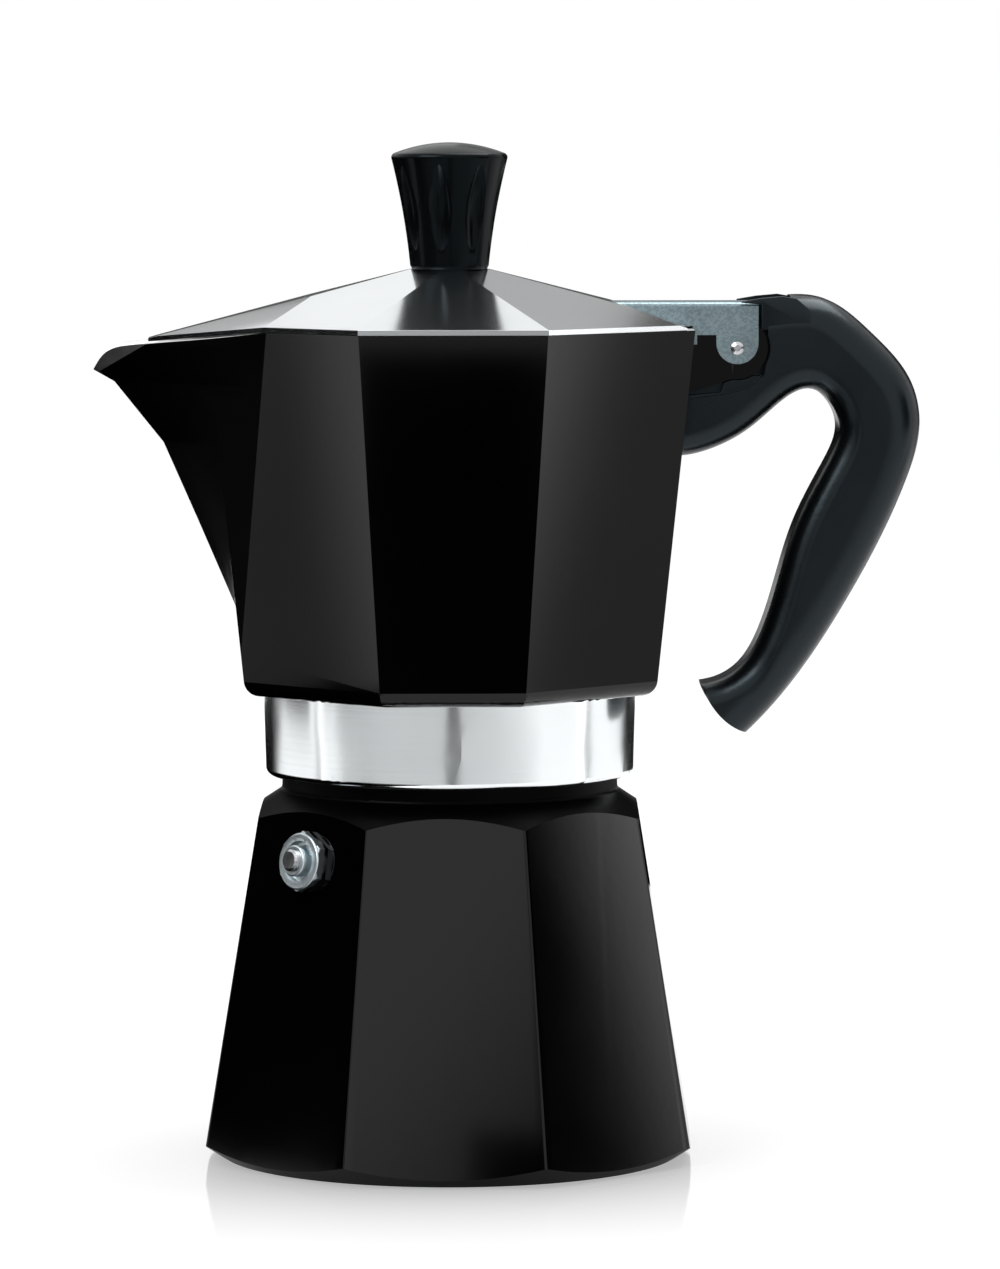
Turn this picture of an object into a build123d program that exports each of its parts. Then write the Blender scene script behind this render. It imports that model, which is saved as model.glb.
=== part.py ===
"""Six-cup stove-top moka pot: boiler with safety valve, funnel, seal, upper pot, handle and hinged lid.

Origin: centre of the boiler's underside. +Z is up, +X points at the handle, -X at the spout. Millimetres.
"""

import os
from math import atan, cos, degrees, hypot, radians, sin, tan

from build123d import *

os.makedirs("parts", exist_ok=True)

# ------------------------------------------------------------------ driving sizes
# Clearances
pin_fit = 0.05              # hinge pin in the holes that turn on it, radial
slide_fit = 0.05            # valve plunger in its guide, radial
thread_fit = 0.1            # collar over the boiler's neck, radial
basket_fit = 0.4            # funnel basket in the boiler's neck, radial
side_fit = 0.15             # between neighbouring ears, cheeks and tongue of the hinge
lid_seat_gap = 0.1          # lid over the pot's rim
skin_gap = 0.05             # bracket's tongue under the lid's skin
slot_gap = 0.3              # bracket's cheeks in the handle's slot, each side
ear_gap = 0.3               # handle round the pot's ears
notch_gap = 0.4             # lid past the handle's horns, each side
hole_spare = 0.5            # blind hole past the end of its screw
bite = 0.1                  # overlap where two volumes of one piece join
overrun = 1.0               # cuts run on past the surface that they leave
above = 6.0                 # trimming solids run on past the rim
wall_gap = 0.2              # handle root off the pot wall
swing_gap = 0.6             # handle clear of the swinging lid bracket
swing_floor = 6.0           # floor of the handle's slot below the pin axis

# Boiler
boiler_base_flats = 104.4   # across flats, where the facets reach the floor
boiler_top_flats = 79.2     # across flats, at the foot of the neck
boiler_height = 79.0        # floor to the foot of the neck
boiler_turn = -2.2          # facets turned from the upper pot's when screwed tight, degrees
boiler_wall = 3.2
boiler_floor = 3.0
boiler_edge_radius = 1.2
foot_radius = 49.2          # flat disc that the boiler stands on
foot_slope = 0.65           # rise per millimetre outside that disc
shoulder_slope = 0.66       # fall per millimetre outside the neck
neck_radius = 36.0
neck_height = 12.0
neck_root_radius = 1.2

# Safety valve
valve_height = 66.0
valve_hex_radius = 6.5
valve_hex_depth = 1.6
valve_rim_radius = 6.0
valve_rim_depth = 0.5
valve_shank_radius = 4.6
valve_washer_radius = 5.6
valve_washer_thickness = 0.5
valve_boss_radius = 8.0
valve_boss_depth = 2.4
valve_recess_radius = 4.3
valve_recess_depth = 1.6
valve_bore_radius = 3.5
valve_end_wall = 1.5
orifice_radius = 1.5
valve_shank_proud = 0.6     # shank past the inside of the boss
cap_radius = 3.3
cap_height = 4.1
cap_skirt = 1.0
cap_lip = 0.6               # flat left round the plunger
plunger_radius = 2.3
plunger_proud = 1.2
plunger_flange_radius = 3.2
plunger_flange_thickness = 0.9
plunger_tip_length = 0.8
spring_wire = 0.5
spring_turns = 4

# Funnel
basket_radius = 29.9
basket_depth = 30.0
sheet = 0.9                 # funnel sheet thickness
funnel_rim_radius = 34.8
cone_depth = 6.5
tube_radius = 4.8
tube_wall = 0.9
tube_grip = 5.0             # tube pushed into the cone's neck
tube_floor_gap = 5.0        # open end above the boiler floor
tube_stop = 0.5             # end of the tube short of the cone's mouth
screen_thickness = 0.8
screen_ledge = 1.6
hole_radius = 1.2
hole_pitch = 6.4
hole_rings = 3

# Seal
gasket_thickness = 5.0
gasket_outer_radius = 35.4
gasket_inner_radius = 28.6
plate_radius = 31.2
plate_thickness = 0.8
plate_rim_width = 1.6
plate_rim_gap = 0.4         # raised ring inside the gasket
plate_rim_height = 0.5

# Upper pot
collar_gap = 3.0            # boiler neck left showing under the collar
collar_radius = 39.9
collar_draft = 0.5
collar_height = 17.8
collar_edge_radius = 1.6
pot_height = 77.9           # collar to rim
pot_rim_flats = 103.2
pot_foot_flats = 87.3
pot_rim_face = 39.2         # width of the front, back and side faces at the rim
pot_foot_face = 30.2
pot_foot_radius = 3.6
chamber_edge_radius = 2.6
pot_wall = 2.6
pot_floor = 3.6
strainer_radius = 27.0
strainer_depth = 0.9

# Spout
spout_start = 17.7          # height of the prow's foot above the collar
spout_lean = 0.43           # outward run of the prow per millimetre of height
spout_lip_reach = 8.6       # extra reach of the flared lip
spout_tip_drop = 9.0        # tip below the rim
spout_flare = 11.0          # exponent of the flare, high is sudden
spout_flare_limit = 1.9     # flare above the tip, as a share of the lip's reach
spout_foot_step = 0.2       # prow's foot proud of the side face
spout_overrun = 1.08        # prow drawn past the rim by this share, then trimmed
lip_level_run = 9.0         # lip edge level behind the tip
lip_round_run = 3.2         # rounding at the tip, along and down
lip_round_drop = 1.6
lip_hook_run = 3.0          # lip curve carried past the tip
lip_hook_drop = 6.0
lip_margin = 5.0            # lip's end past the straight prow
spout_shoulder_x = 39.0     # where the prow leaves the diagonal faces at the rim
spout_lip_drop = 3.2        # lip edge below the rim, behind the tip
spout_levels = (0.0, 0.3, 0.55, 0.75, 0.88, 0.96, 1.0)
spout_tip_wall = 1.5        # walls of the prow at the rim, as shares of the inset
spout_shoulder_wall = 0.6
spout_flank_wall = 1.2
lip_bend_share = 0.25       # bend of the lip's curve, from shoulder to tip
lip_bend_drop = 0.38        # and its fall, as a share of the lip's drop
lip_start = (-1, -0.12)     # directions of the curve at its ends
lip_end = (-0.3, -1)

# Column
column_height = 64.0
column_foot_radius = 7.6
column_top_radius = 5.6
column_bore_radius = 3.4
column_spigot_radius = 5.0
column_flange_radius = 9.5
column_flange_thickness = 1.2
column_window_width = 4.2
column_window_height = 7.0
column_window_drop = 5.0    # windows below the column's top
column_cap_thickness = 3.0

# Hinge
pin_reach = 9.6             # pin axis beyond the rim's side face
pin_drop = 4.2              # pin axis below the rim
pin_radius = 1.4
pin_proud = 0.4
pin_end_radius = 0.7        # flat left on the pin's coned ends
tongue_half = 3.4           # half thickness of the handle's tongue
ear_thickness = 2.7
ear_radius = 6.6
ear_low = 14.3              # foot of the ears on the pot wall, below the rim
ear_high = 3.4
ear_web_front = 0.8         # underside of the web meets the knuckle this far before the pin
ear_web_crest = 40.0        # top of the web meets the knuckle at this angle over the pin, degrees
cheek_thickness = 1.4
cheek_radius = 4.5
cheek_rise = 1.1            # centre of the cheeks' round end above the pin axis
cheek_drop = 5.6            # straight part of the cheeks under the plate
bracket_wall_gap = 0.1      # front edge of the cheeks off the rim's side face
bracket_plate_top = 9.8     # above the pin axis
bracket_plate_thickness = 1.4
bracket_tab_width = 0.9
bracket_tab_drop = 2.0
tongue_in_lid = 12.0        # bracket tongue under the lid skin
lid_tongue_half = 6.0
rivet_radius = 1.5
rivet_head_radius = 2.6
rivet_head_height = 0.8
rivet_spacing = 8.0

# Lid
lid_rise = 12.5             # rim to the flat top
lid_overhang = 0.3
lid_setback = 2.0           # rear edge short of the side face, for the bracket
lid_edge = 1.05             # upright edge of the lid
lid_skin = 1.3
lid_edge_width = 2.4
beak_reach = 64.3
beak_half_width = 3.0
beak_fall = 0.283           # fall of the beak's facets towards the tip, per millimetre
beak_camber = 0.141         # and sideways
lid_top_half = 8.5          # half across the flat top
lid_top_face = 3.5          # width of its front, back and side edges
seat_reach = 38.0           # steeper seat of the bracket starts this far from the axis
seat_slope = 0.361
lid_notch = 0.6             # rear edge cut back further between the handle's horns
knob_hole_radius = 2.1

# Knob
knob_height = 27.0
knob_foot_height = 0.8
knob_waist_radius = 10.2
knob_foot_radius = 8.4
knob_top_radius = 12.6
knob_crown = 2.6
knob_edge_radius = 1.0
flute_count = 8
flute_phase = -12.0
flute_length = 26.0
flute_share = 0.455         # middle of the flutes, as a share of the knob's height
flute_radius = 3.3
flute_depth = 1.65
screw_radius = 2.0
screw_depth = 12.0
screw_head_radius = 3.8
screw_head_height = 2.2
screw_slot_width = 0.9
screw_slot_depth = 1.0
washer_radius = 5.5
washer_thickness = 0.8

# Handle
handle_half = 10.2
handle_back_radius = 7.0    # rounding of its outer edges
handle_grip_radius = 5.0    # and of those round the grip
pocket_half = 6.4           # half thickness of the recessed web behind the hinge
knuckle_radius = 7.2
root_foot_drop = 23.0       # root against the pot wall, below the pin axis
root_head_drop = 10.3

# ------------------------------------------------------------------ worked-out heights
neck_top = boiler_height + neck_height
funnel_rim_top = neck_top + sheet
gasket_top = funnel_rim_top + gasket_thickness
plate_top = gasket_top + plate_thickness
strainer_top = plate_top + strainer_depth
chamber_floor = plate_top + pot_floor
collar_bottom = boiler_height + collar_gap
collar_top = collar_bottom + collar_height
rim = collar_top + pot_height
pin_x = pot_rim_flats / 2 + pin_reach
pin_z = rim - pin_drop
lid_bottom = rim + lid_seat_gap
lid_top = rim + lid_rise


def octagon(half_flats, face):
    """Corners of an eight-sided outline whose front, back and side faces are `face` wide."""
    h = face / 2
    f = half_flats
    return [(f, -h), (f, h), (h, f), (-h, f), (-f, h), (-f, -h), (-h, -f), (h, -f)]


def between(low, high, share):
    """Value at a share of the way from low to high."""
    return low + (high - low) * share


# ------------------------------------------------------------------ boiler
eighth = tan(radians(22.5))
facet_run = (boiler_base_flats - boiler_top_flats) / 2 / boiler_height
facet_lean = degrees(atan(facet_run))
inner_inset = boiler_wall * hypot(1, facet_run)
neck_bore = basket_radius + basket_fit


def boiler_facets(inset):
    """Eight-sided taper of the boiler, moved in by `inset`."""
    with BuildPart() as facets:
        for height, flats in ((0, boiler_base_flats), (boiler_height, boiler_top_flats)):
            with BuildSketch(Plane.XY.offset(height).rotated((0, 0, boiler_turn))):
                Polygon(*octagon(flats / 2 - inset, (flats - 2 * inset) * eighth), align=None)
        loft(ruled=True)
        side_edges = facets.edges().group_by(Axis.Z)[1]
        fillet(side_edges, boiler_edge_radius)
    return facets.part


valve_azimuth = radians(225 + boiler_turn)
valve_reach = boiler_base_flats / 2 - facet_run * valve_height
valve_lean = radians(facet_lean)
valve_plane = Plane(
    origin=(valve_reach * cos(valve_azimuth), valve_reach * sin(valve_azimuth), valve_height),
    x_dir=(-sin(valve_azimuth), cos(valve_azimuth), 0),
    z_dir=(
        cos(valve_azimuth) * cos(valve_lean),
        sin(valve_azimuth) * cos(valve_lean),
        sin(valve_lean),
    ),
)
boss_end = -(boiler_wall + valve_boss_depth)

cone_top = boiler_height - boiler_wall


def turned_limits(foot, foot_z, neck, neck_z):
    """Turned solid, flared at the foot and sloping at the shoulder, that trims facets to arcs."""
    rise = neck_z - foot_z + foot_slope * foot + shoulder_slope * neck
    widest = rise / (foot_slope + shoulder_slope)
    with BuildPart() as limits:
        with BuildSketch(Plane.XZ):
            with BuildLine():
                Polyline(
                    (0, foot_z),
                    (foot, foot_z),
                    (widest, foot_z + foot_slope * (widest - foot)),
                    (neck, neck_z),
                    (0, neck_z),
                    close=True,
                )
            make_face()
        revolve(axis=Axis.Z)
    return limits.part


with BuildPart() as water_space:
    add(boiler_facets(inner_inset))
    inner_foot = foot_radius - boiler_wall / 2
    add(turned_limits(inner_foot, boiler_floor, neck_bore, cone_top), mode=Mode.INTERSECT)
    with BuildSketch(Plane.XY.offset(boiler_height / 2)):
        Circle(neck_bore)
    extrude(amount=neck_top)

with BuildPart() as boiler:
    add(boiler_facets(0))
    add(turned_limits(foot_radius, 0, neck_radius, boiler_height), mode=Mode.INTERSECT)
    # neck that the collar screws over
    with BuildSketch(Plane.XY.offset(boiler_height / 2)):
        Circle(neck_radius)
    extrude(amount=neck_top - boiler_height / 2)
    add(water_space.part, mode=Mode.SUBTRACT)
    # thickened boss and hole for the valve
    with BuildSketch(valve_plane.offset(boss_end)):
        Circle(valve_boss_radius)
    extrude(amount=valve_boss_depth + boiler_wall / 2)
    with BuildSketch(valve_plane.offset(boss_end - overrun)):
        Circle(valve_shank_radius)
    extrude(amount=boiler_wall + valve_boss_depth + 2 * overrun, mode=Mode.SUBTRACT)
    neck_root = boiler.edges().filter_by(GeomType.CIRCLE).filter_by(
        lambda e: abs(e.center().Z - boiler_height) < 0.01 and abs(e.radius - neck_radius) < 0.01
    )
    fillet(neck_root, neck_root_radius)
boiler.part.label = "boiler"
export_step(boiler.part, "parts/boiler.step")


# ------------------------------------------------------------------ safety valve
hex_base = valve_washer_thickness
hex_top = hex_base + valve_hex_depth
valve_face = hex_top + valve_rim_depth
recess_floor = valve_face - valve_recess_depth
shank_end = boss_end - valve_shank_proud
seat = shank_end + valve_end_wall
cap_base = recess_floor - cap_skirt
cap_top = cap_base + cap_height

with BuildPart() as valve_washer:
    with BuildSketch(valve_plane):
        Circle(valve_washer_radius)
        Circle(valve_shank_radius, mode=Mode.SUBTRACT)
    extrude(amount=valve_washer_thickness)
valve_washer.part.label = "valve_washer"
export_step(valve_washer.part, "parts/valve_washer.step")

with BuildPart() as valve_body:
    with BuildSketch(valve_plane.offset(hex_base)):
        RegularPolygon(valve_hex_radius, 6, rotation=30)
    extrude(amount=valve_hex_depth)
    with BuildSketch(valve_plane.offset(hex_top)):
        Circle(valve_rim_radius)
    extrude(amount=valve_rim_depth)
    outer_rim = valve_body.faces().sort_by(Axis(valve_plane.origin, valve_plane.z_dir))[-1].edges()
    chamfer(outer_rim, valve_rim_depth / 2)
    with BuildSketch(valve_plane.offset(shank_end)):
        Circle(valve_shank_radius)
    extrude(amount=hex_base - shank_end)
    with BuildSketch(valve_plane.offset(recess_floor)):
        Circle(valve_recess_radius)
    extrude(amount=valve_face, mode=Mode.SUBTRACT)
    with BuildSketch(valve_plane.offset(seat)):
        Circle(valve_bore_radius)
    extrude(amount=valve_face - seat, mode=Mode.SUBTRACT)
    with BuildSketch(valve_plane.offset(shank_end)):
        Circle(orifice_radius)
    extrude(amount=valve_end_wall, mode=Mode.SUBTRACT)
valve_body.part.label = "valve_body"
export_step(valve_body.part, "parts/valve_body.step")

with BuildPart() as valve_cap:
    with BuildSketch(valve_plane.offset(cap_base)):
        Circle(valve_bore_radius)
    extrude(amount=cap_skirt)
    with BuildSketch(valve_plane.offset(cap_base + cap_skirt)):
        Circle(cap_radius)
    extrude(amount=cap_height - cap_skirt)
    cap_edge = valve_cap.faces().sort_by(Axis(valve_plane.origin, valve_plane.z_dir))[-1].edges()
    fillet(cap_edge, cap_radius - plunger_radius - cap_lip)
    with BuildSketch(valve_plane.offset(cap_base)):
        Circle(plunger_radius + slide_fit)
    extrude(amount=cap_height, mode=Mode.SUBTRACT)
valve_cap.part.label = "valve_cap"
export_step(valve_cap.part, "parts/valve_cap.step")

flange_top = seat + plunger_flange_thickness
with BuildPart() as valve_plunger:
    with BuildSketch(valve_plane.offset(seat)):
        Circle(plunger_flange_radius)
    extrude(amount=plunger_flange_thickness)
    with BuildSketch(valve_plane.offset(flange_top)):
        Circle(plunger_radius)
    extrude(amount=cap_top + plunger_proud - flange_top)
    nose = valve_plunger.faces().sort_by(Axis(valve_plane.origin, valve_plane.z_dir))[-1].edges()
    chamfer(nose, plunger_radius / 5)
    with BuildSketch(valve_plane.offset(seat)):
        Circle(orifice_radius - slide_fit)
    extrude(amount=-plunger_tip_length)
valve_plunger.part.label = "valve_plunger"
export_step(valve_plunger.part, "parts/valve_plunger.step")

spring_room = cap_base - flange_top
spring_radius = (valve_bore_radius + plunger_radius) / 2
spring_foot = valve_plane.offset(flange_top + spring_wire / 2)
with BuildPart() as valve_spring:
    with BuildLine() as coil:
        Helix(
            pitch=(spring_room - spring_wire) / spring_turns,
            height=spring_room - spring_wire,
            radius=spring_radius,
            center=spring_foot.origin,
            direction=spring_foot.z_dir,
        )
    with BuildSketch(Plane(origin=coil.line @ 0, z_dir=coil.line % 0)):
        Circle(spring_wire / 2)
    sweep(is_frenet=True)
valve_spring.part.label = "valve_spring"
export_step(valve_spring.part, "parts/valve_spring.step")


# ------------------------------------------------------------------ funnel
screen_top = funnel_rim_top - basket_depth
screen_base = screen_top - screen_thickness
cone_foot = screen_base - cone_depth
tube_top = cone_foot - tube_stop
tube_foot = boiler_floor + tube_floor_gap
basket_inner = basket_radius - sheet
tube_socket = tube_radius + sheet

with BuildPart() as funnel:
    with BuildSketch(Plane.XZ):
        with BuildLine():
            Polyline(
                (basket_inner, funnel_rim_top),
                (funnel_rim_radius, funnel_rim_top),
                (funnel_rim_radius, neck_top),
                (basket_radius, neck_top),
                (basket_radius, screen_base - sheet),
                (tube_socket, cone_foot - sheet),
                (tube_socket, cone_foot - tube_grip - sheet),
                (tube_radius, cone_foot - tube_grip - sheet),
                (tube_radius, cone_foot),
                (basket_inner - screen_ledge, screen_base),
                (basket_inner, screen_base),
                close=True,
            )
        make_face()
    revolve(axis=Axis.Z)
    rolled = funnel.edges().filter_by(
        lambda e: abs(e.center().Z - funnel_rim_top) < 0.01 and e.radius < basket_radius
    )
    fillet(rolled, sheet * 0.8)
funnel.part.label = "funnel"
export_step(funnel.part, "parts/funnel.step")

with BuildPart() as funnel_tube:
    with BuildSketch(Plane.XY.offset(tube_foot)):
        Circle(tube_radius)
        Circle(tube_radius - tube_wall, mode=Mode.SUBTRACT)
    extrude(amount=tube_top - tube_foot)
funnel_tube.part.label = "funnel_tube"
export_step(funnel_tube.part, "parts/funnel_tube.step")


def strainer_holes(base, thickness):
    """Rings of round holes through a plate that lies at `base`, centred on the axis."""
    with BuildPart() as holes:
        with BuildSketch(Plane.XY.offset(base - overrun)):
            Circle(hole_radius)
            for ring in range(1, hole_rings + 1):
                with PolarLocations(ring * hole_pitch, 6 * ring):
                    Circle(hole_radius)
        extrude(amount=thickness + 2 * overrun)
    return holes.part


with BuildPart() as funnel_screen:
    with BuildSketch(Plane.XY.offset(screen_base)):
        Circle(basket_inner)
    extrude(amount=screen_thickness)
    add(strainer_holes(screen_base, screen_thickness), mode=Mode.SUBTRACT)
funnel_screen.part.label = "funnel_screen"
export_step(funnel_screen.part, "parts/funnel_screen.step")


# ------------------------------------------------------------------ seal
with BuildPart() as gasket:
    with BuildSketch(Plane.XY.offset(funnel_rim_top)):
        Circle(gasket_outer_radius)
        Circle(gasket_inner_radius, mode=Mode.SUBTRACT)
    extrude(amount=gasket_thickness)
gasket.part.label = "gasket"
export_step(gasket.part, "parts/gasket.step")

with BuildPart() as filter_plate:
    with BuildSketch(Plane.XY.offset(gasket_top)):
        Circle(plate_radius)
    extrude(amount=plate_thickness)
    add(strainer_holes(gasket_top, plate_thickness), mode=Mode.SUBTRACT)
    with BuildSketch(Plane.XY.offset(gasket_top)):
        Circle(gasket_inner_radius - plate_rim_gap)
        Circle(gasket_inner_radius - plate_rim_gap - plate_rim_width, mode=Mode.SUBTRACT)
    extrude(amount=-plate_rim_height)
filter_plate.part.label = "filter_plate"
export_step(filter_plate.part, "parts/filter_plate.step")


# ------------------------------------------------------------------ upper pot
pot_run = (pot_rim_flats - pot_foot_flats) / 2 / pot_height


def pot_facets(inset, bottom, top):
    """Eight-sided flare of the upper pot between two heights, moved in by `inset`."""
    with BuildPart() as facets:
        for height in (bottom, top):
            share = (height - collar_top) / pot_height
            half = between(pot_foot_flats, pot_rim_flats, share) / 2 - inset
            face = between(pot_foot_face, pot_rim_face, share) - 2 * inset * eighth
            with BuildSketch(Plane.XY.offset(height)):
                Polygon(*octagon(half, face), align=None)
        loft(ruled=True)
    return facets.part


spout_foot = collar_top + spout_start
spout_rise = rim - spout_foot
tip_rise = spout_rise - spout_tip_drop
spout_shoulder_y = (pot_rim_flats + pot_rim_face) / 2 - spout_shoulder_x


def spout_prow(inset, top_share):
    """V-shaped prow that grows out of the side face towards the tip, moved in by `inset`."""
    with BuildPart() as prow:
        for level in spout_levels:
            height = spout_rise * level * top_share
            share = height / spout_rise
            foot_share = spout_start / pot_height
            foot_half = between(pot_foot_flats, pot_rim_flats, foot_share) / 2
            foot_side = between(pot_foot_face, pot_rim_face, foot_share) / 2
            flare = spout_lip_reach * min((height / tip_rise) ** spout_flare, spout_flare_limit)
            tip = foot_half + spout_foot_step + spout_lean * height + flare
            tip -= inset * between(1.0, spout_tip_wall, share)
            side_x = between(foot_half, spout_shoulder_x, share)
            side_x -= inset * between(1.0, spout_shoulder_wall, share)
            side_y = between(foot_side, spout_shoulder_y, share) - inset * spout_flank_wall
            with BuildSketch(Plane.XY.offset(spout_foot + height)):
                Polygon(
                    (-tip, 0),
                    (-side_x, -side_y),
                    (-side_x / 2, -side_y / 2),
                    (-side_x / 2, side_y / 2),
                    (-side_x, side_y),
                    align=None,
                )
        loft(ruled=True)
    return prow.part


def lip_cut():
    """Space above the spout's lip, which falls from the rim to the tip in one curve."""
    lip = rim - spout_lip_drop
    tip_x = pot_rim_flats / 2 + spout_lean * tip_rise / 2 + spout_lip_reach + lip_margin
    tip_z = rim - spout_tip_drop
    bend = (-between(spout_shoulder_x, tip_x, lip_bend_share), rim - spout_lip_drop * lip_bend_drop)
    with BuildPart() as space:
        with BuildSketch(Plane.XZ):
            with BuildLine():
                Spline(
                    (-spout_shoulder_x, rim),
                    bend,
                    (-tip_x + lip_level_run, lip),
                    (-tip_x + lip_round_run, lip - lip_round_drop),
                    (-tip_x, tip_z),
                    (-tip_x - lip_hook_run, tip_z - lip_hook_drop),
                    tangents=(lip_start, lip_end),
                )
                Polyline(
                    (-tip_x - lip_hook_run, tip_z - lip_hook_drop),
                    (-2 * tip_x, tip_z - lip_hook_drop),
                    (-2 * tip_x, rim + 2 * above),
                    (pot_rim_flats, rim + 2 * above),
                    (pot_rim_flats, rim),
                    (-spout_shoulder_x, rim),
                )
            make_face()
        extrude(amount=pot_rim_flats, both=True)
    return space.part


ear_near = tongue_half + side_fit
ear_far = ear_near + ear_thickness


def ear_outline(margin):
    """Side view of the hinge ears: a round knuckle on a web that grows from the pot wall."""
    root_x = pot_rim_flats / 2 - pot_wall / 2 - pot_run * ear_low
    crest = radians(ear_web_crest)
    with BuildSketch(Plane.XZ) as outline:
        with Locations((pin_x, pin_z)):
            Circle(ear_radius)
        Polygon(
            (root_x, rim - ear_low),
            (pin_x - ear_web_front, pin_z - ear_radius + bite),
            (pin_x, pin_z),
            (pin_x - (ear_radius - bite) * cos(crest), pin_z + (ear_radius - bite) * sin(crest)),
            (root_x, rim - ear_high),
            align=None,
        )
        if margin > 0:
            offset(amount=margin)
    return outline.sketch


with BuildPart() as chamber:
    add(pot_facets(pot_wall, chamber_floor, rim + above))
    fillet(chamber.edges().group_by(Axis.Z)[0], chamber_edge_radius)
    add(spout_prow(pot_wall, spout_overrun))

with BuildPart() as collar:
    with BuildSketch(Plane.XZ):
        with BuildLine():
            Polyline(
                (0, collar_bottom),
                (collar_radius - collar_draft, collar_bottom),
                (collar_radius, collar_top),
                (collar_radius, collar_top + pot_floor / 2),
                (0, collar_top + pot_floor / 2),
                close=True,
            )
        make_face()
    revolve(axis=Axis.Z)
    fillet(collar.edges().group_by(Axis.Z)[0], collar_edge_radius)

with BuildPart() as collector:
    add(pot_facets(0, collar_top, rim))
    fillet(collector.edges().group_by(Axis.Z)[0], pot_foot_radius)
    add(spout_prow(0, spout_overrun))
    add(lip_cut(), mode=Mode.SUBTRACT)
    add(collar.part)
    add(chamber.part, mode=Mode.SUBTRACT)
    # underside: neck bore, strainer seat, hollow under the floor, column hole
    for radius, low, high in (
        (neck_radius + thread_fit, collar_bottom, gasket_top),
        (plate_radius + slide_fit, gasket_top, plate_top),
        (strainer_radius, plate_top, strainer_top),
        (column_spigot_radius, strainer_top, chamber_floor),
    ):
        with BuildSketch(Plane.XY.offset(low)):
            Circle(radius)
        extrude(amount=high - low, mode=Mode.SUBTRACT)
    # hinge ears
    for side in (1, -1):
        extrude(ear_outline(0).moved(Location((0, side * ear_near, 0))), amount=-side * ear_thickness)
    with BuildSketch(Plane.XZ):
        with Locations((pin_x, pin_z)):
            Circle(pin_radius)
    extrude(amount=ear_far + overrun, both=True, mode=Mode.SUBTRACT)
collector.part.label = "collector"
export_step(collector.part, "parts/collector.step")

with BuildPart() as column:
    with BuildSketch(Plane.XZ):
        with BuildLine():
            Polyline(
                (0, chamber_floor),
                (column_flange_radius, chamber_floor),
                (column_flange_radius, chamber_floor + column_flange_thickness),
                (column_foot_radius, chamber_floor + column_flange_thickness),
                (column_top_radius, chamber_floor + column_height),
                (0, chamber_floor + column_height),
                close=True,
            )
        make_face()
    revolve(axis=Axis.Z)
    fillet(column.edges().group_by(Axis.Z)[-1], column_top_radius * 0.6)
    with BuildSketch(Plane.XY.offset(strainer_top)):
        Circle(column_spigot_radius)
    extrude(amount=chamber_floor - strainer_top)
    with BuildSketch(Plane.XY.offset(strainer_top)):
        Circle(column_bore_radius)
    extrude(amount=chamber_floor + column_height - column_cap_thickness - strainer_top, mode=Mode.SUBTRACT)
    window_z = chamber_floor + column_height - column_window_drop - column_window_height / 2
    with BuildSketch(Plane.XZ):
        with Locations((0, window_z)):
            SlotOverall(column_window_height, column_window_width, rotation=90)
    extrude(amount=column_foot_radius, both=True, mode=Mode.SUBTRACT)
column.part.label = "column"
export_step(column.part, "parts/column.step")


# ------------------------------------------------------------------ lid
lid_half = pot_rim_flats / 2 + lid_overhang
lid_face = pot_rim_face + 2 * lid_overhang * eighth
lid_edge_top = lid_bottom + lid_edge
lid_slope = (lid_top - lid_edge_top) / (lid_half - lid_top_half)
lid_face_growth = (lid_face - lid_top_face) / (lid_half - lid_top_half)
lid_foot = rim - 2 * above
lid_rear = lid_half - lid_setback
beak_side_x = spout_shoulder_x + lid_overhang
beak_side_y = lid_half + lid_face / 2 - beak_side_x
beak_edge_top = lid_edge_top - beak_fall * (beak_reach - beak_side_x)
beak_edge_top += beak_camber * (beak_side_y - beak_half_width)
seat_z = lid_top - lid_slope * (seat_reach - lid_top_half)


def seat_line(x):
    """Height of the bracket's seat on the lid."""
    return seat_z - seat_slope * (x - seat_reach)


def lid_outline(inset):
    """Plan of the lid: an octagon drawn out over the spout and cut short at the hinge."""
    half = lid_half - inset
    side = lid_face / 2 - inset * eighth
    rear = lid_rear - inset
    front_half = [
        (rear, -(half + side - rear)),
        (side, -half),
        (-side, -half),
        (-beak_side_x + inset * eighth, -beak_side_y + inset),
        (-beak_reach + inset, -beak_half_width),
    ]
    return front_half + [(x, -y) for x, y in reversed(front_half)]


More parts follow.
